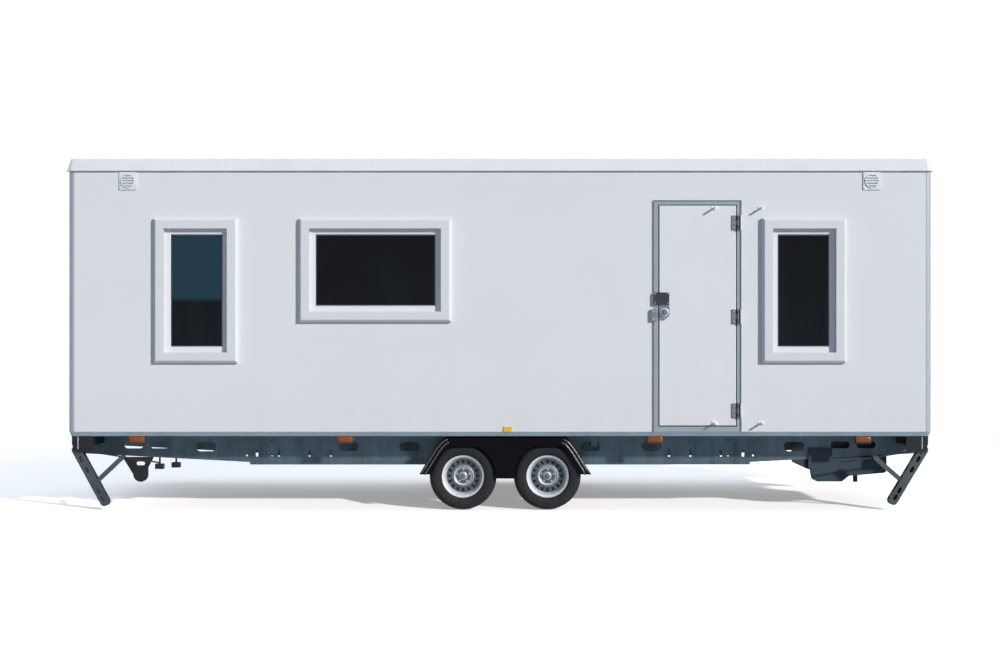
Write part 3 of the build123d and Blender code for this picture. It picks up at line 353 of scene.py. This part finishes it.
def rim_surface(name, x, y, outward):
    """A closed pressing: its section, v, from the hub over the flanges to the drum's back, turned by u.

    From the cap the face steps down to the bolts, slopes up to a raised ring, and drops to the vents,
    then climbs a cone to the flange. Each vent is a pit, where a rounded box of angle and radius pushes
    the face in. Each bolt is a boss that rises around its own place on the bolt circle.
    """
    vents, vent_circle, vent_depth = 16, 132, 24.0
    bolts, bolt_circle, bolt_radius, bolt_height = 5, 60, 12.0, 11.0
    face_points = 65
    radius = np.concatenate([
        np.linspace(0, 33, 7), np.linspace(34.5, 74, 21), [75.5, 77, 79], np.linspace(82, 90, 4),
        [93, 95, 97], np.linspace(99, 114, 7), np.linspace(116, 148, 18), [150, 154, 158],
        np.linspace(162, 188, 8), [191.5, 194.5, 197.3, 198.3, 197.5],
        [196, 188, 178, 176, 152, 151, 176, 178, 188, 198, 198.6, 192, 174, 170, 147], [144.5, 144.5, 60, 0],
    ])
    out = np.concatenate([
        np.interp(radius[:7], [0, 14, 21, 26, 33], [38, 37.5, 35, 27, 23]),
        np.interp(radius[7:28], [34.5, 45, 64, 74], [22, 18, 17, 22]), [22.8, 23.6, 24.7],
        [26.3, 28.0, 29.3, 29.9], [29.3, 27.5, 24.5], np.linspace(20.5, 16, 7), np.linspace(15.6, 13, 18),
        [13, 14.5, 18], np.linspace(23, 66, 8), [70, 73.2, 75.6, 74.2, 71],
        [68, 67, 65, 50, 18, -20, -50, -66, -68, -70, -73, -74.6, -72, -50, -16], [-16, -79.5, -79.5, -79.5],
    ])
    turn = full_turn(352)[:, None]
    step = (turn / (2 * np.pi) * vents + 0.5) % 1 - 0.5
    sideways = step / vents * 2 * np.pi * vent_circle
    face = np.arange(len(radius)) < face_points
    off_vent = (np.abs(sideways) / 10.0) ** 4 + (np.abs(radius - vent_circle) / 15.0) ** 4
    sink = np.where(face, vent_depth * np.clip(2.6 - 2.2 * off_vent, 0, 1), 0.0)
    boss = 0.0
    for bolt in np.arange(bolts) * 2 * np.pi / bolts + np.pi / 2:
        apart = np.hypot(radius * np.cos(turn) - bolt_circle * np.cos(bolt),
                         radius * np.sin(turn) - bolt_circle * np.sin(bolt))
        boss = boss + bolt_height * np.clip((bolt_radius - apart) / 2.5, 0, 1)
    depth = y + outward * (out - sink + np.where(face, boss, 0.0)) / 1000
    points = [x + radius * np.cos(turn) / 1000, depth, hub_z + radius * np.sin(turn) / 1000]
    return grid_mesh(name, np.stack(points, axis=-1)[::-outward], closed_u=True)


def off(tree, value, level):
    """How far a value is from a level, either way."""
    apart = wire(tree, "ShaderNodeMath", value, level, settings={"operation": "SUBTRACT"}).outputs[0]
    return wire(tree, "ShaderNodeMath", apart, settings={"operation": "ABSOLUTE"}).outputs[0]


rim_paint = finish("rim paint", (0.62, 0.67, 0.72), (0.18, 0.18, 0.18), 0.36, amount=0.3, low=0.1, high=0.55,
                   size=11.0, skin=220.0, bump=0.15, metal=0.15)
# Within the cone of the rim the paint lies deep in the wheel, and it is darkened to blue grey: road film and
# painted shade. Only the slope up to the ring is left light. The vents' pits are painted nearly black, a
# painted shade, and the outer edge of the flange is darkened. The distance from the nearer hub, folded about
# the middle of the axles, and the distance from the home's middle plane give the place on the wheel.
middle_y = (front_y + back_y) / 2
hub_level = box_middle("tyre_back_leading")[1] - middle_y
tree = rim_paint.node_tree
place = wire(tree, "ShaderNodeSeparateXYZ", object_place(tree)).outputs
along_axles = off(tree, off(tree, place["X"], axles_middle_x), half_axle_spacing)
from_hub = wire(tree, "ShaderNodeCombineXYZ", along_axles, off(tree, place["Z"], hub_z))
off_hub = length_of(tree, from_hub.outputs[0])
stand = off(tree, place["Y"], middle_y)
# Painted shade: film darkens the deep disc, the cap and the ring's top, and pitted blackens the vents' pits.
film = ramp(tree, off_hub, 0.165, 0.154, high=0.93)
deep = ramp(tree, stand, hub_level + 0.0185, hub_level + 0.0245, low=1.0, high=0.15)
crest = ramp(tree, stand, hub_level + 0.0268, hub_level + 0.0290, high=0.9)
edge = ramp(tree, off_hub, 0.1955, 0.1975, high=0.6)
pitted = ramp(tree, stand, hub_level + 0.009, hub_level + 0.003)
tint(rim_paint, (maths(tree, "MULTIPLY", film, maths(tree, "MAXIMUM", deep, crest)), (0.012, 0.027, 0.044)),
     (maths(tree, "MULTIPLY", film, pitted), (0.003, 0.004, 0.006)), (edge, (0.03, 0.03, 0.033)))
for wheel in wheels:
    middle = box_middle(f"tyre_{wheel}")
    rim = rim_surface(f"pressed_rim_{wheel}", middle[0], middle[1], 1 if "back" in wheel else -1)
    rim.data.shade_smooth()
    place_on(rim, rim_paint, f"wheel_{wheel}")
    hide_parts(f"rim_{wheel}")

# Axles: six-sided torsion tubes with trailing arms, which carry the wheels' stubs. They are welded steel,
# dipped black and dusty from the road.
dress(finish("axle coating", (0.008, 0.008, 0.009), (0.05, 0.045, 0.038), 0.55, amount=0.5, low=0.2, high=0.6,
             size=6.0, skin=90.0, bump=0.3, sheen=0.2), "axles")

# Rails and cross members: pressed steel channels that carry the floor, with slots cut to save weight.
# They are bolted together and hot-dip galvanised, and in the floor's shade their zinc is dull.
galvanised = finish("galvanised steel", (0.078, 0.125, 0.167), (0.032, 0.040, 0.047), 0.5, amount=0.65,
                    low=0.2, high=0.9, size=4.0, skin=45.0, bump=0.25, metal=0.5)
dress(galvanised, "rail_front", "rail_back", "rail_centre", "cross_members")

# Mudguards: one black polyethylene moulding over both wheels on each side, hung from the rails.
# Two moulded beads stiffen each of its sloping ends.
dress(finish("mudguard plastic", (0.0015, 0.0015, 0.0035), (0.006, 0.0055, 0.006), 0.42, amount=0.3, low=0.3,
             high=0.8, size=7.0, skin=150.0, bump=0.3, sheen=0.05), "mudguards")


def tube_along(name, paths, across, out, section):
    """A closed section carried along each path of points. Its ends are closed onto the path.

    At each point the section's first number goes along the across vectors and its second along out.
    """
    section = np.asarray(section, float)
    steps = across[..., None, :] * section[:, :1] + np.asarray(out)[..., None, :] * section[:, 1:]
    rings = paths[..., None, :] + steps
    middle = paths + (across * section[:, 0].mean() + np.asarray(out) * section[:, 1].mean())
    start, end = (np.repeat(middle[..., place, None, None, :], len(section), axis=-2) for place in (0, -1))
    return grid_mesh(name, np.concatenate([start, rings, end], axis=-3), closed_v=True)


def rounded_run(corners, times=4):
    """A run of straight lines with its corners cut off again and again, by a quarter of each line."""
    run = np.asarray(corners, float)
    for _ in range(times):
        early, late = run[:-1] * 0.75 + run[1:] * 0.25, run[:-1] * 0.25 + run[1:] * 0.75
        inner = np.stack([early, late], axis=1).reshape(-1, run.shape[1])[1:-1]
        run = np.vstack([run[:1], inner, run[-1:]])
    return run


bead_plastic = finish("bead plastic", (0.003, 0.003, 0.005), (0.010, 0.010, 0.010), 0.28, amount=0.15,
                      low=0.3, high=0.8, size=7.0, skin=150.0, bump=0.1, sheen=0.9)
right_end = rounded_run([(0.545, 0.677), (0.585, 0.657), (0.602, 0.640), (0.648, 0.584), (0.722, 0.465),
                         (0.788, 0.360)])
bead_insets, bead_half_width, bead_stand, guard_inset = (0.013, 0.045), 0.009, 0.008, 0.033
for side, face_y, outward in (("front", front_y + guard_inset, -1.0), ("back", back_y - guard_inset, 1.0)):
    paths, normals = [], []
    for run in (right_end, right_end[::-1] * (-1, 1)):
        along = np.gradient(run, axis=0)
        along /= np.linalg.norm(along, axis=1)[:, None]
        inwards = np.stack([along[:, 1], -along[:, 0]], axis=1)
        for inset in bead_insets:
            flat = run + inwards * inset
            paths.append(np.stack([flat[:, 0] + axles_middle_x, 0 * flat[:, 0] + face_y, flat[:, 1]], axis=1))
            normals.append(np.stack([inwards[:, 0], 0 * flat[:, 0], inwards[:, 1]], axis=1))
    turn = full_turn(16)
    section = np.stack([bead_half_width * np.cos(turn), bead_stand * np.sin(turn) * outward], axis=1)
    beads = tube_along(f"guard_beads_{side}", np.array(paths), np.array(normals), (0.0, 1.0, 0.0),
                       section[::int(-outward)])
    beads.data.shade_smooth()
    place_on(beads, bead_plastic, "root")

# Outriggers: black coated steel arms from the rails to the corners, which carry the walls and the
# steadies. Bolts hold their outer plates, and a flat bar is welded up each plate.
black_coating = finish("black coating", (0.006, 0.007, 0.010), (0.026, 0.026, 0.026), 0.42, amount=0.35,
                       low=0.2, high=0.6, size=9.0, skin=140.0, bump=0.2, sheen=0.25)
dress(black_coating, "outriggers")
worn_zinc = finish("worn zinc", (0.36, 0.40, 0.43), (0.10, 0.10, 0.10), 0.35, amount=0.5, low=0.3, high=0.8,
                   size=14.0, skin=200.0, bump=0.15, metal=0.5)


def domes(name, body, made, places, facing, radius, height):
    """One mesh of like screw heads: on each place a cap of a sphere, radius wide and height high.

    A cap's point at ring v and angle u is v along the rim's radius and rises by 1 - v squared. Its foot
    is closed onto a point just inside what carries it.
    """
    rings, sides, foot_depth = 4, 12, 0.0005
    facing = Vector(facing)
    side = facing.orthogonal().normalized()
    over = np.array(facing.cross(side))
    side, out = np.array(side), np.array(facing)
    ring, turn = np.meshgrid(np.linspace(0, 1, rings + 1)[1:], full_turn(sides), indexing="ij")
    cap = (radius * ring * np.cos(turn))[..., None] * side + (radius * ring * np.sin(turn))[..., None] * over
    cap = cap + (height * (1 - ring ** 2))[..., None] * out
    cap = np.vstack([(height * out)[None], cap.reshape(-1, 3), (side * 0 - foot_depth * out)[None]])
    index = np.arange(rings * sides).reshape(rings, sides) + 1
    beside = np.roll(index, -1, axis=1)
    quads = np.stack([index[:-1], index[1:], beside[1:], beside[:-1]], axis=-1).reshape(-1, 4).tolist()
    foot = rings * sides + 1
    fans = [[0, a, b] for a, b in zip(index[0], beside[0])]
    fans += [[foot, b, a] for a, b in zip(index[-1], beside[-1])]
    places = np.asarray(places, float)
    points = (places[:, None] + cap[None]).reshape(-1, 3)
    faces = [[int(corner) + len(cap) * number for corner in face]
             for number in range(len(places)) for face in quads + fans]
    mesh = bpy.data.meshes.new(name)
    mesh.from_pydata(points.tolist(), [], faces)
    mesh.shade_smooth()
    place_on(add_object(name, mesh), made, body)


arm_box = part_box("outriggers")
bolt_places = [(x, z) for x in (-3.965, -3.820, 3.820, 3.965) for z in (0.585, 0.660)]
bar_places, bar_foot, bar_top = (-3.930, 3.930), 0.575, 0.690
bar_section = [(-0.005, -0.001), (0.005, -0.001), (0.005, 0.005), (0.003, 0.007), (-0.003, 0.007),
               (-0.005, 0.005)]
for side, face_y, outward in (("front", arm_box[0][1], -1), ("back", arm_box[1][1], 1)):
    domes(f"outrigger_bolts_{side}", "root", black_coating,
          [(x, face_y, z) for x, z in bolt_places], (0, outward, 0), 0.009, 0.006)
    bars = np.array([[(x, face_y, bar_top), (x, face_y, bar_foot)][::outward] for x in bar_places])
    hook_bars = tube_along(f"hook_bars_{side}", bars, np.array([1.0, 0.0, 0.0]) + 0 * bars,
                           (0.0, float(outward), 0.0), bar_section)
    place_on(hook_bars, worn_zinc, "root")

# Corner steadies: pressed galvanised legs and struts, dulled by the weather. Each leg hangs from a pin in
# its bracket, and a greased nut on a sloping threaded screw draws the strut that pushes the leg down.
steady_steel = finish("steady steel", (0.062, 0.080, 0.098), (0.026, 0.030, 0.034), 0.45, amount=0.6, low=0.0,
                      high=0.6, size=8.0, skin=70.0, bump=0.25, metal=0.3, sheen=0.3)
ends = [f"{side}_{end}" for side in ("front", "back") for end in ("left", "right")]
dress(steady_steel, "steady_brackets", *[f"steady_leg_{end}" for end in ends],
      *[f"steady_strut_{end}" for end in ends])
greased = finish("greased steel", (0.022, 0.023, 0.025), (0.011, 0.010, 0.009), 0.38, amount=0.6, low=0.3,
                 high=0.6, size=14.0, skin=160.0, bump=0.1, metal=0.3, sheen=0.3)
dress(greased, *[f"steady_nut_{end}" for end in ends])

# The four screws are rolled threads. The radius rises in a ridge wherever the length along the screw, in
# pitches, less the turn about it, in turns, is near a whole number.
pivot_x, pivot_z, slope = 3.955, 0.565, math.radians(9)
screw_starts, screw_ends, pitch, core_radius, thread_height = 0.058, 0.775, 0.009, 0.0066, 0.0014
reach = np.concatenate([[screw_starts], np.linspace(screw_starts, screw_ends, 478), [screw_ends]])[:, None]
turn = full_turn(18)[None, :]
ridge = 0.5 + 0.5 * np.cos(2 * np.pi * reach / pitch - turn)
radius = core_radius + thread_height * ridge
radius[[0, -1]] = 0.0
screw_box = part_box("steady_screws")
screw_radius = core_radius + thread_height
rods = []
for end in (-1, 1):
    for y in (screw_box[0][1] + screw_radius, screw_box[1][1] - screw_radius):
        x = end * (pivot_x - reach * math.cos(slope) + radius * np.sin(turn) * math.sin(slope))
        z = pivot_z - reach * math.sin(slope) - radius * np.sin(turn) * math.cos(slope)
        rod = np.stack([x, y + radius * np.cos(turn) + 0 * reach, z], axis=-1)
        rods.append(rod[:, ::end])
screws = grid_mesh("threaded_screws", np.array(rods), closed_v=True)
screws.data.shade_smooth()
place_on(screws, greased, "root")
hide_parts("steady_screws")

# Tank, hanging bracket and drain stubs: a dark moulded water tank under the floor, and black coated
# steel fittings that are bolted to the chassis.
dress(finish("tank plastic", (0.030, 0.050, 0.074), (0.04, 0.045, 0.05), 0.5, amount=0.35, low=0.2, high=0.7,
             size=5.0, skin=120.0, bump=0.35, sheen=0.2), "tank")
dress(black_coating, "hanging_bracket", "drain_stubs")

# Floor: birch plywood with a brown resin film, laid on the rails and cross members between the walls.
# Aluminium trims with an undercut face are riveted round its edge, at the foot of the walls.
dress(finish("floor film", (0.115, 0.082, 0.062), (0.05, 0.045, 0.04), 0.55, amount=0.4, low=0.6, high=0.9,
             size=1.5, skin=300.0, bump=0.15), "floor_panel")
dress(finish("base trim aluminium", (0.245, 0.325, 0.40), (0.10, 0.12, 0.135), 0.42, amount=0.45, low=0.6,
             high=0.8, size=3.0, skin=50.0, bump=0.1, metal=0.35), "long_base_trims", "end_base_trims")

# Walls: sandwich panels with a smooth off-white glass-fibre skin, glued to a foam core. They stand in
# the base trims, between coated aluminium corner trims.
panel_skin = finish("panel skin", (0.635, 0.668, 0.712), (0.42, 0.41, 0.38), 0.32, amount=0.14, low=0.7,
                    high=1.25, size=1.1, skin=5.0, bump=0.05, depth=0.004, coat=0.1)
dress(panel_skin, "front_wall_left", "front_wall_right", "front_wall_over_door", "back_wall",
      "end_wall_left", "end_wall_right", "roof_panel")
dress(finish("corner trim coating", (0.33, 0.38, 0.445), (0.20, 0.21, 0.22), 0.36, amount=0.25, low=0.7,
             high=1.2, size=3.0, skin=30.0, bump=0.05, metal=0.25), "corner_trims")

# Windows: white extruded frames and sashes, mitred and welded at the corners, round dark insulating
# glass. A rubber seal runs round each pane.
frame_plastic = finish("window frame section", (0.60, 0.63, 0.67), (0.35, 0.35, 0.34), 0.3, amount=0.12,
                       low=1.2, high=1.7, size=3.0, skin=40.0, bump=0.04, coat=0.15)
dress(frame_plastic, "window_frames")
sash_plastic = finish("sash section", (0.66, 0.68, 0.725), (0.38, 0.38, 0.36), 0.28, amount=0.1, low=1.2,
                      high=1.7, size=3.0, skin=40.0, bump=0.04, coat=0.15)
dress(sash_plastic, "window_sashes")


def ring_round(name, middle, size, y, outward, section):
    """A section of (inwards, outwards) steps carried round a rectangle, with mitred corners.

    Each corner of the rectangle moves in along both its sides by the section's first number, and the
    second number moves it out from the wall.
    """
    section = np.asarray(section, float)
    corner = np.array([(-1, -1), (1, -1), (1, 1), (-1, 1)], float)
    half = np.asarray(size, float) / 2
    reach = half - section[:, :1]
    points = np.empty((4, len(section), 3))
    points[..., 0] = middle[0] + corner[:, None, 0] * reach[None, :, 0]
    points[..., 2] = middle[1] + corner[:, None, 1] * reach[None, :, 1]
    points[..., 1] = y + outward * section[None, :, 1]
    return grid_mesh(name, points[::-outward], closed_u=True, closed_v=True)


seal_rubber = finish("seal rubber", (0.012, 0.012, 0.013), (0.06, 0.06, 0.055), 0.55, amount=0.3, low=1.2,
                     high=2.6, size=8.0, skin=120.0, bump=0.2)
seal_section = [(-0.002, -0.002), (0.007, -0.002), (0.0065, 0.002), (0.003, 0.0045), (-0.002, 0.004)]
sash_faces = 2 * 0.058
# Each light is the x and z of its middle, its width and height inside the frame, and the side it faces.
lights = [(-2.820, 2.050, 0.586, 1.148, -1), (-1.157, 2.2395, 1.220, 0.769, -1),
          (2.820, 2.050, 0.586, 1.148, -1), (1.157, 2.2395, 1.220, 0.769, 1)]
for number, (x, z, width, height, outward) in enumerate(lights):
    glass_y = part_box("window_glass")[0 if outward < 0 else 1][1]
    seal = ring_round(f"glass_seal_{number}", (x, z), (width - sash_faces, height - sash_faces), glass_y,
                      outward, seal_section)
    place_on(seal, seal_rubber, "root")
# The glass is lighter towards its foot: a painted reflection, over light cloudy dirt.
tinted = finish("tinted glass", (0.0035, 0.0045, 0.0065), (0.014, 0.018, 0.023), 0.03, amount=0.6, low=1.2,
                high=2.9, size=1.3, skin=2.0, bump=0.02, sheen=0.06)
dress(tinted, "window_glass")
# The upper part of the left window's glass, above a level half way down, is painted teal: a painted
# reflection of the surroundings.
tree = tinted.node_tree
place = wire(tree, "ShaderNodeSeparateXYZ", object_place(tree)).outputs
left_pane = ramp(tree, place["X"], -2.3, -2.2, low=1.0, high=0.0)
upper_reflection = ramp(tree, place["Z"], 1.945, 1.985)
tint(tinted, (maths(tree, "MULTIPLY", left_pane, upper_reflection), (0.014, 0.038, 0.060)))

# Door: a coated leaf in an aluminium frame, hung on three lift-off hinges. The frame has a thin lip all
# along its outer edge, and each hinge has a white cap over its fixed flap.
frame_aluminium = finish("door frame aluminium", (0.265, 0.32, 0.37), (0.16, 0.17, 0.18), 0.34, amount=0.3,
                         low=0.7, high=1.2, size=5.0, skin=60.0, bump=0.08, metal=0.45)
dress(frame_aluminium, "door_frame")
dress(finish("door skin", (0.645, 0.678, 0.722), (0.40, 0.39, 0.36), 0.33, amount=0.2, low=0.75, high=1.3,
             size=1.6, skin=12.0, bump=0.05, depth=0.003, coat=0.1), "door_leaf")
hinge_coating = finish("hinge coating", (0.70, 0.73, 0.77), (0.25, 0.23, 0.20), 0.36, amount=0.3, low=0.8,
                       high=2.9, size=16.0, skin=90.0, bump=0.1)
# The flaps' steel is painted dark slate, darkest on the frame: painted shade and shadow, where the hinges'
# knuckles and caps shade them.
for node, tone in (("frame_hinge_halves", (0.05, 0.062, 0.088)), ("door_hinge_halves", (0.13, 0.15, 0.20))):
    dress(finish(f"steel of {node}", tone, (0.10, 0.10, 0.10), 0.4, amount=0.3, low=0.8, high=2.9, size=16.0,
                 skin=90.0, bump=0.1), node)

leaf_foot = 0.794
hinge_z = [leaf_foot + level for level in (0.141, 1.0135, 1.886)]
frame_box, face_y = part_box("door_frame"), front_y - 0.004
half_lip, lip_gap, cap_x, cap_reach = 0.003, 0.070, 2.235, 0.066
keeper_foot, keeper_top = 1.760, 2.040
lip_x = (frame_box[0][0] + half_lip, frame_box[1][0] - half_lip)
lip_foot, lip_top = frame_box[0][2], frame_box[1][2]
free = [lip_foot] + [z + step for z in hinge_z for step in (-lip_gap, lip_gap)] + [lip_top]
runs = [(lip_x[0], lip_foot, keeper_foot), (lip_x[0], keeper_top, lip_top)]
runs += [(lip_x[1], low, high) for low, high in zip(free[::2], free[1::2])]
bars = [[(x, face_y, low), (x, face_y, high)] for x, low, high in runs]
head_z = lip_top - half_lip
bars += [[(lip_x[1] + half_lip, face_y, head_z), (lip_x[0] - half_lip, face_y, head_z)]]
across = np.zeros((len(bars), 2, 3))
across[:-1, :, 0] = across[-1, :, 2] = 1.0
lips = tube_along("frame_lips", np.array(bars), across, (0.0, -1.0, 0.0),
                  [(-0.003, -0.001), (0.003, -0.001), (0.003, 0.011), (0.0015, 0.013), (-0.0015, 0.013),
                   (-0.003, 0.011)])
place_on(lips, frame_aluminium, "root")
caps = np.array([[(cap_x, face_y, z - cap_reach), (cap_x, face_y, z + cap_reach)] for z in hinge_z])
caps = tube_along("hinge_caps", caps, np.array([1.0, 0.0, 0.0]) + 0 * caps, (0.0, -1.0, 0.0),
                  [(-0.0065, 0.008), (0.0065, 0.008), (0.0065, 0.028), (0.004, 0.031), (-0.004, 0.031),
                   (-0.0065, 0.028)])
place_on(caps, hinge_coating, "root")

# Door holders: white plastic rods on small plates, two on the leaf and two on the wall, screwed on.
# The two pairs meet when the leaf is wide open, and stop and hold it there.
plate_reach, holder_tip_y = 0.024, front_y - 0.095


def holder_surface(name, places, base_y):
    """Closed rods on small plates: rings of points follow the rod from its plate, at v = 0, to its tip.

    Each ring is a rounded box whose half width and half height shrink from the plate's to the rod's, and
    whose corners get rounder, by a smaller power of the sine and cosine, until the rod is round.
    """
    reach = base_y - holder_tip_y
    out = np.array([-0.0005, -0.0005, 0.004, 0.006, 0.007, 0.012, reach - 0.004, reach - 0.001, reach, reach])
    wide = np.array([0, 0.027, 0.027, 0.025, 0.012, 0.0095, 0.0095, 0.008, 0.005, 0])[:, None]
    tall = np.array([0, 0.018, 0.018, 0.016, 0.012, 0.0095, 0.0095, 0.008, 0.005, 0])[:, None]
    power = np.array([0.5, 0.5, 0.5, 0.55, 0.9, 1, 1, 1, 1, 1])[:, None]
    turn = full_turn(40)[None, :]
    x = wide * np.sign(np.cos(turn)) * np.abs(np.cos(turn)) ** power
    z = tall * np.sign(np.sin(turn)) * np.abs(np.sin(turn)) ** power
    rod = np.stack([x, base_y - out[:, None] + 0 * turn, z], axis=-1)[::-1]
    return grid_mesh(name, np.array([rod + np.array([x, 0.0, z]) for x, z in places]), closed_v=True)


buffer_plastic = finish("buffer plastic", (0.78, 0.80, 0.82), (0.35, 0.34, 0.32), 0.4, amount=0.25, low=0.7,
                        high=2.9, size=16.0, skin=90.0, bump=0.1)
for node, body, base_y in (("door_holders", "door", face_y), ("wall_holders", "root", front_y)):
    low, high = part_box(node)
    x = (low[0] + high[0]) / 2
    rods = holder_surface(f"slim_{node}", [(x, low[2] + plate_reach), (x, high[2] - plate_reach)], base_y)
    place_on(rods, buffer_plastic, body)
    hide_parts(node)

# Lock: a black coated case on the leaf, above a steel grip, and a steel keeper on the frame. The grip's and
# the keeper's steel is soiled and painted dark blue grey: a painted shade. A bright turned ring lies round
# the grip.
# Its surface is a tube, v, bent round a circle, u.
dress(finish("lock case", (0.012, 0.014, 0.020), (0.05, 0.052, 0.06), 0.38, amount=0.4, low=1.8, high=2.1,
             size=22.0, skin=160.0, bump=0.2, sheen=0.4), "lock_case")
dress(finish("lock steel in painted shade", (0.17, 0.20, 0.26), (0.08, 0.08, 0.085), 0.34, amount=0.45, low=1.7, high=2.0,
             size=24.0, skin=200.0, bump=0.15, metal=0.5), "door_grip", "lock_keeper")
bright_ring = finish("bright ring", (0.74, 0.77, 0.80), (0.30, 0.30, 0.30), 0.25, amount=0.25, low=1.7,
                     high=2.0, size=24.0, skin=200.0, bump=0.1, metal=0.5)
grip_x, grip_z, ring_y = 1.525, 1.8485, front_y - 0.013
ring_radius, ring_half_width, ring_rise = 0.0335, 0.006, 0.005
turn, tube = np.meshgrid(full_turn(64), full_turn(14), indexing="ij")
reach = ring_radius + ring_half_width * np.cos(tube)
ring = np.stack([grip_x + reach * np.cos(turn), ring_y - ring_rise * np.sin(tube),
                 grip_z + reach * np.sin(turn)], axis=-1)
grip_ring = grid_mesh("grip_ring", ring, closed_u=True, closed_v=True)
grip_ring.data.shade_smooth()
place_on(grip_ring, bright_ring, "door")

# Vents, lamps and reflectors: moulded white louvres under the roof, amber lenses on rubber bases under the
# base trims, and a yellow reflector at the foot of each long wall. The lenses turn dark red at their
# lower edge.
vent_white = finish("vent plastic", (0.68, 0.72, 0.78), (0.30, 0.31, 0.32), 0.4, amount=0.35, low=2.9,
                    high=3.2, size=14.0, skin=80.0, bump=0.08)
dress(vent_white, "vents")
amber = finish("amber lens", (0.22, 0.058, 0.006), (0.06, 0.022, 0.008), 0.22, amount=0.35, low=0.6, high=0.8,
               size=20.0, skin=300.0, bump=0.15, sheen=0.35)
dress(amber, "marker_lamps")
tree = amber.node_tree
level = wire(tree, "ShaderNodeSeparateXYZ", object_place(tree)).outputs["Z"]
tint(amber, (ramp(tree, level, 0.652, 0.634), (0.045, 0.008, 0.003)),
     (ramp(tree, level, 0.715, 0.725), (0.66, 0.45, 0.02)))


def lens_surface(name, places, y, outward):
    """Closed cushions on the lamps: a rounded box shrinks from v = 1 at the rim to nothing at the middle.

    On its way in, the face rises by 1 - v to the fourth power, and the back lies flat just in the lamp.
    """
    half_width, half_height, back, rim_rise, crown, corner = 0.0715, 0.0305, -0.002, 0.0005, 0.009, 0.45
    ring = np.concatenate([[0, 1], 1 - np.linspace(0, 1, 14)[1:] ** 1.5])[:, None]
    rise = np.concatenate([[back, back], rim_rise + crown * (1 - ring[2:, 0] ** 4)])[:, None]
    turn = full_turn(56)[None, :]
    x = half_width * ring * np.sign(np.cos(turn)) * np.abs(np.cos(turn)) ** corner
    z = half_height * ring * np.sign(np.sin(turn)) * np.abs(np.sin(turn)) ** corner
    lens = np.stack([x, y + outward * (rise + 0 * turn), z], axis=-1)[::outward]
    return grid_mesh(name, np.array([lens + np.array([x, 0.0, z]) for x, z in places]), closed_v=True)


lamp_x, lamp_z, lamp_face = (-3.383, -1.444, 1.444, 3.383), 0.6615, 0.024
lamp_sides = (("front", front_y + lamp_face, -1), ("back", back_y - lamp_face, 1))
for side, y, outward in lamp_sides:
    lenses = lens_surface(f"lenses_{side}", [(x, lamp_z) for x in lamp_x], y, outward)
    lenses.data.shade_smooth()
    place_on(lenses, amber, "root")
base_size = (0.149, 0.067)
base_section = [(-0.001, -0.028), (0.005, -0.028), (0.005, -0.012), (0.002, -0.009), (-0.001, -0.011)]
base_places = [(x, y, outward) for x in lamp_x for _, y, outward in lamp_sides]
for number, (x, y, outward) in enumerate(base_places):
    base = ring_round(f"lamp_base_{number}", (x, lamp_z), base_size, y, outward, base_section)
    place_on(base, seal_rubber, "root")

# Fixings: zinc-plated pan heads hold the leaf's hinge flaps, the grip, the lock and its keeper, and white
# ones hold the vents. Rivets hold the base trims.
zinc = finish("zinc screws", (0.50, 0.51, 0.52), (0.14, 0.12, 0.10), 0.35, amount=0.4, low=0.3, high=3.0,
              size=30.0, skin=300.0, bump=0.1, metal=0.8)
to_front, to_back = (0, -1, 0), (0, 1, 0)
flap_y, plate_y, case_y, keeper_y = (front_y - stand for stand in (0.014, 0.012, 0.030, 0.026))
vent_stand = 0.010
domes("leaf_hinge_screws", "door", zinc,
      [(2.170, flap_y, z + step) for z in hinge_z for step in (-0.045, 0.0, 0.045)], to_front, 0.0055, 0.003)
grip_screws = [(1.489, 1.906), (1.561, 1.906), (1.489, 1.791), (1.525, 1.789)]
domes("grip_screws", "door", zinc, [(x, plate_y, z) for x, z in grip_screws], to_front,
      0.005, 0.0028)
domes("lock_screws", "door", zinc,
      [(x, case_y, z) for x in (1.437, 1.557) for z in (1.932, 2.020)], to_front, 0.0055, 0.003)
domes("keeper_screws", "root", zinc, [(1.4255, keeper_y, z) for z in (1.785, 1.857)], to_front,
      0.0065, 0.0035)
vent_corners = [(x, z) for vent_x in (-3.454, 3.454) for x in (vent_x - 0.068, vent_x + 0.068)
                for z in (2.997, 3.139)]
domes("vent_screws_front", "root", vent_white,
      [(x, front_y - vent_stand, z) for x, z in vent_corners], to_front, 0.0055, 0.003)
domes("vent_screws_back", "root", vent_white,
      [(x, back_y + vent_stand, z) for x, z in vent_corners], to_back, 0.0055, 0.003)
# The rivets sit square on the undercut face, and there are none under the door.
rivet_z, rivet_inset, lean_y, lean_z = 0.719, 0.0095, 0.903, -0.43
front_rivets = np.concatenate([np.arange(-3.9, 1.30, 0.4), [2.4, 2.8, 3.2, 3.6, 3.9]])
domes("trim_rivets_front", "root", zinc,
      [(x, front_y + rivet_inset, rivet_z) for x in front_rivets], (0, -lean_y, lean_z), 0.0045, 0.0022)
domes("trim_rivets_back", "root", zinc,
      [(x, back_y - rivet_inset, rivet_z) for x in np.arange(-3.9, 4.0, 0.4)], (0, lean_y, lean_z),
      0.0045, 0.0022)

# Roof: a moulded glass-fibre cap, glossy white with soft edges. Its skirt laps the top of the walls, and
# it is glued down all round.
dress(finish("roof gelcoat", (0.66, 0.67, 0.715), (0.34, 0.35, 0.35), 0.26, amount=0.2, low=3.1, high=3.35,
             size=1.4, skin=7.0, bump=0.012, depth=0.003, coat=0.25), "roof_cap")
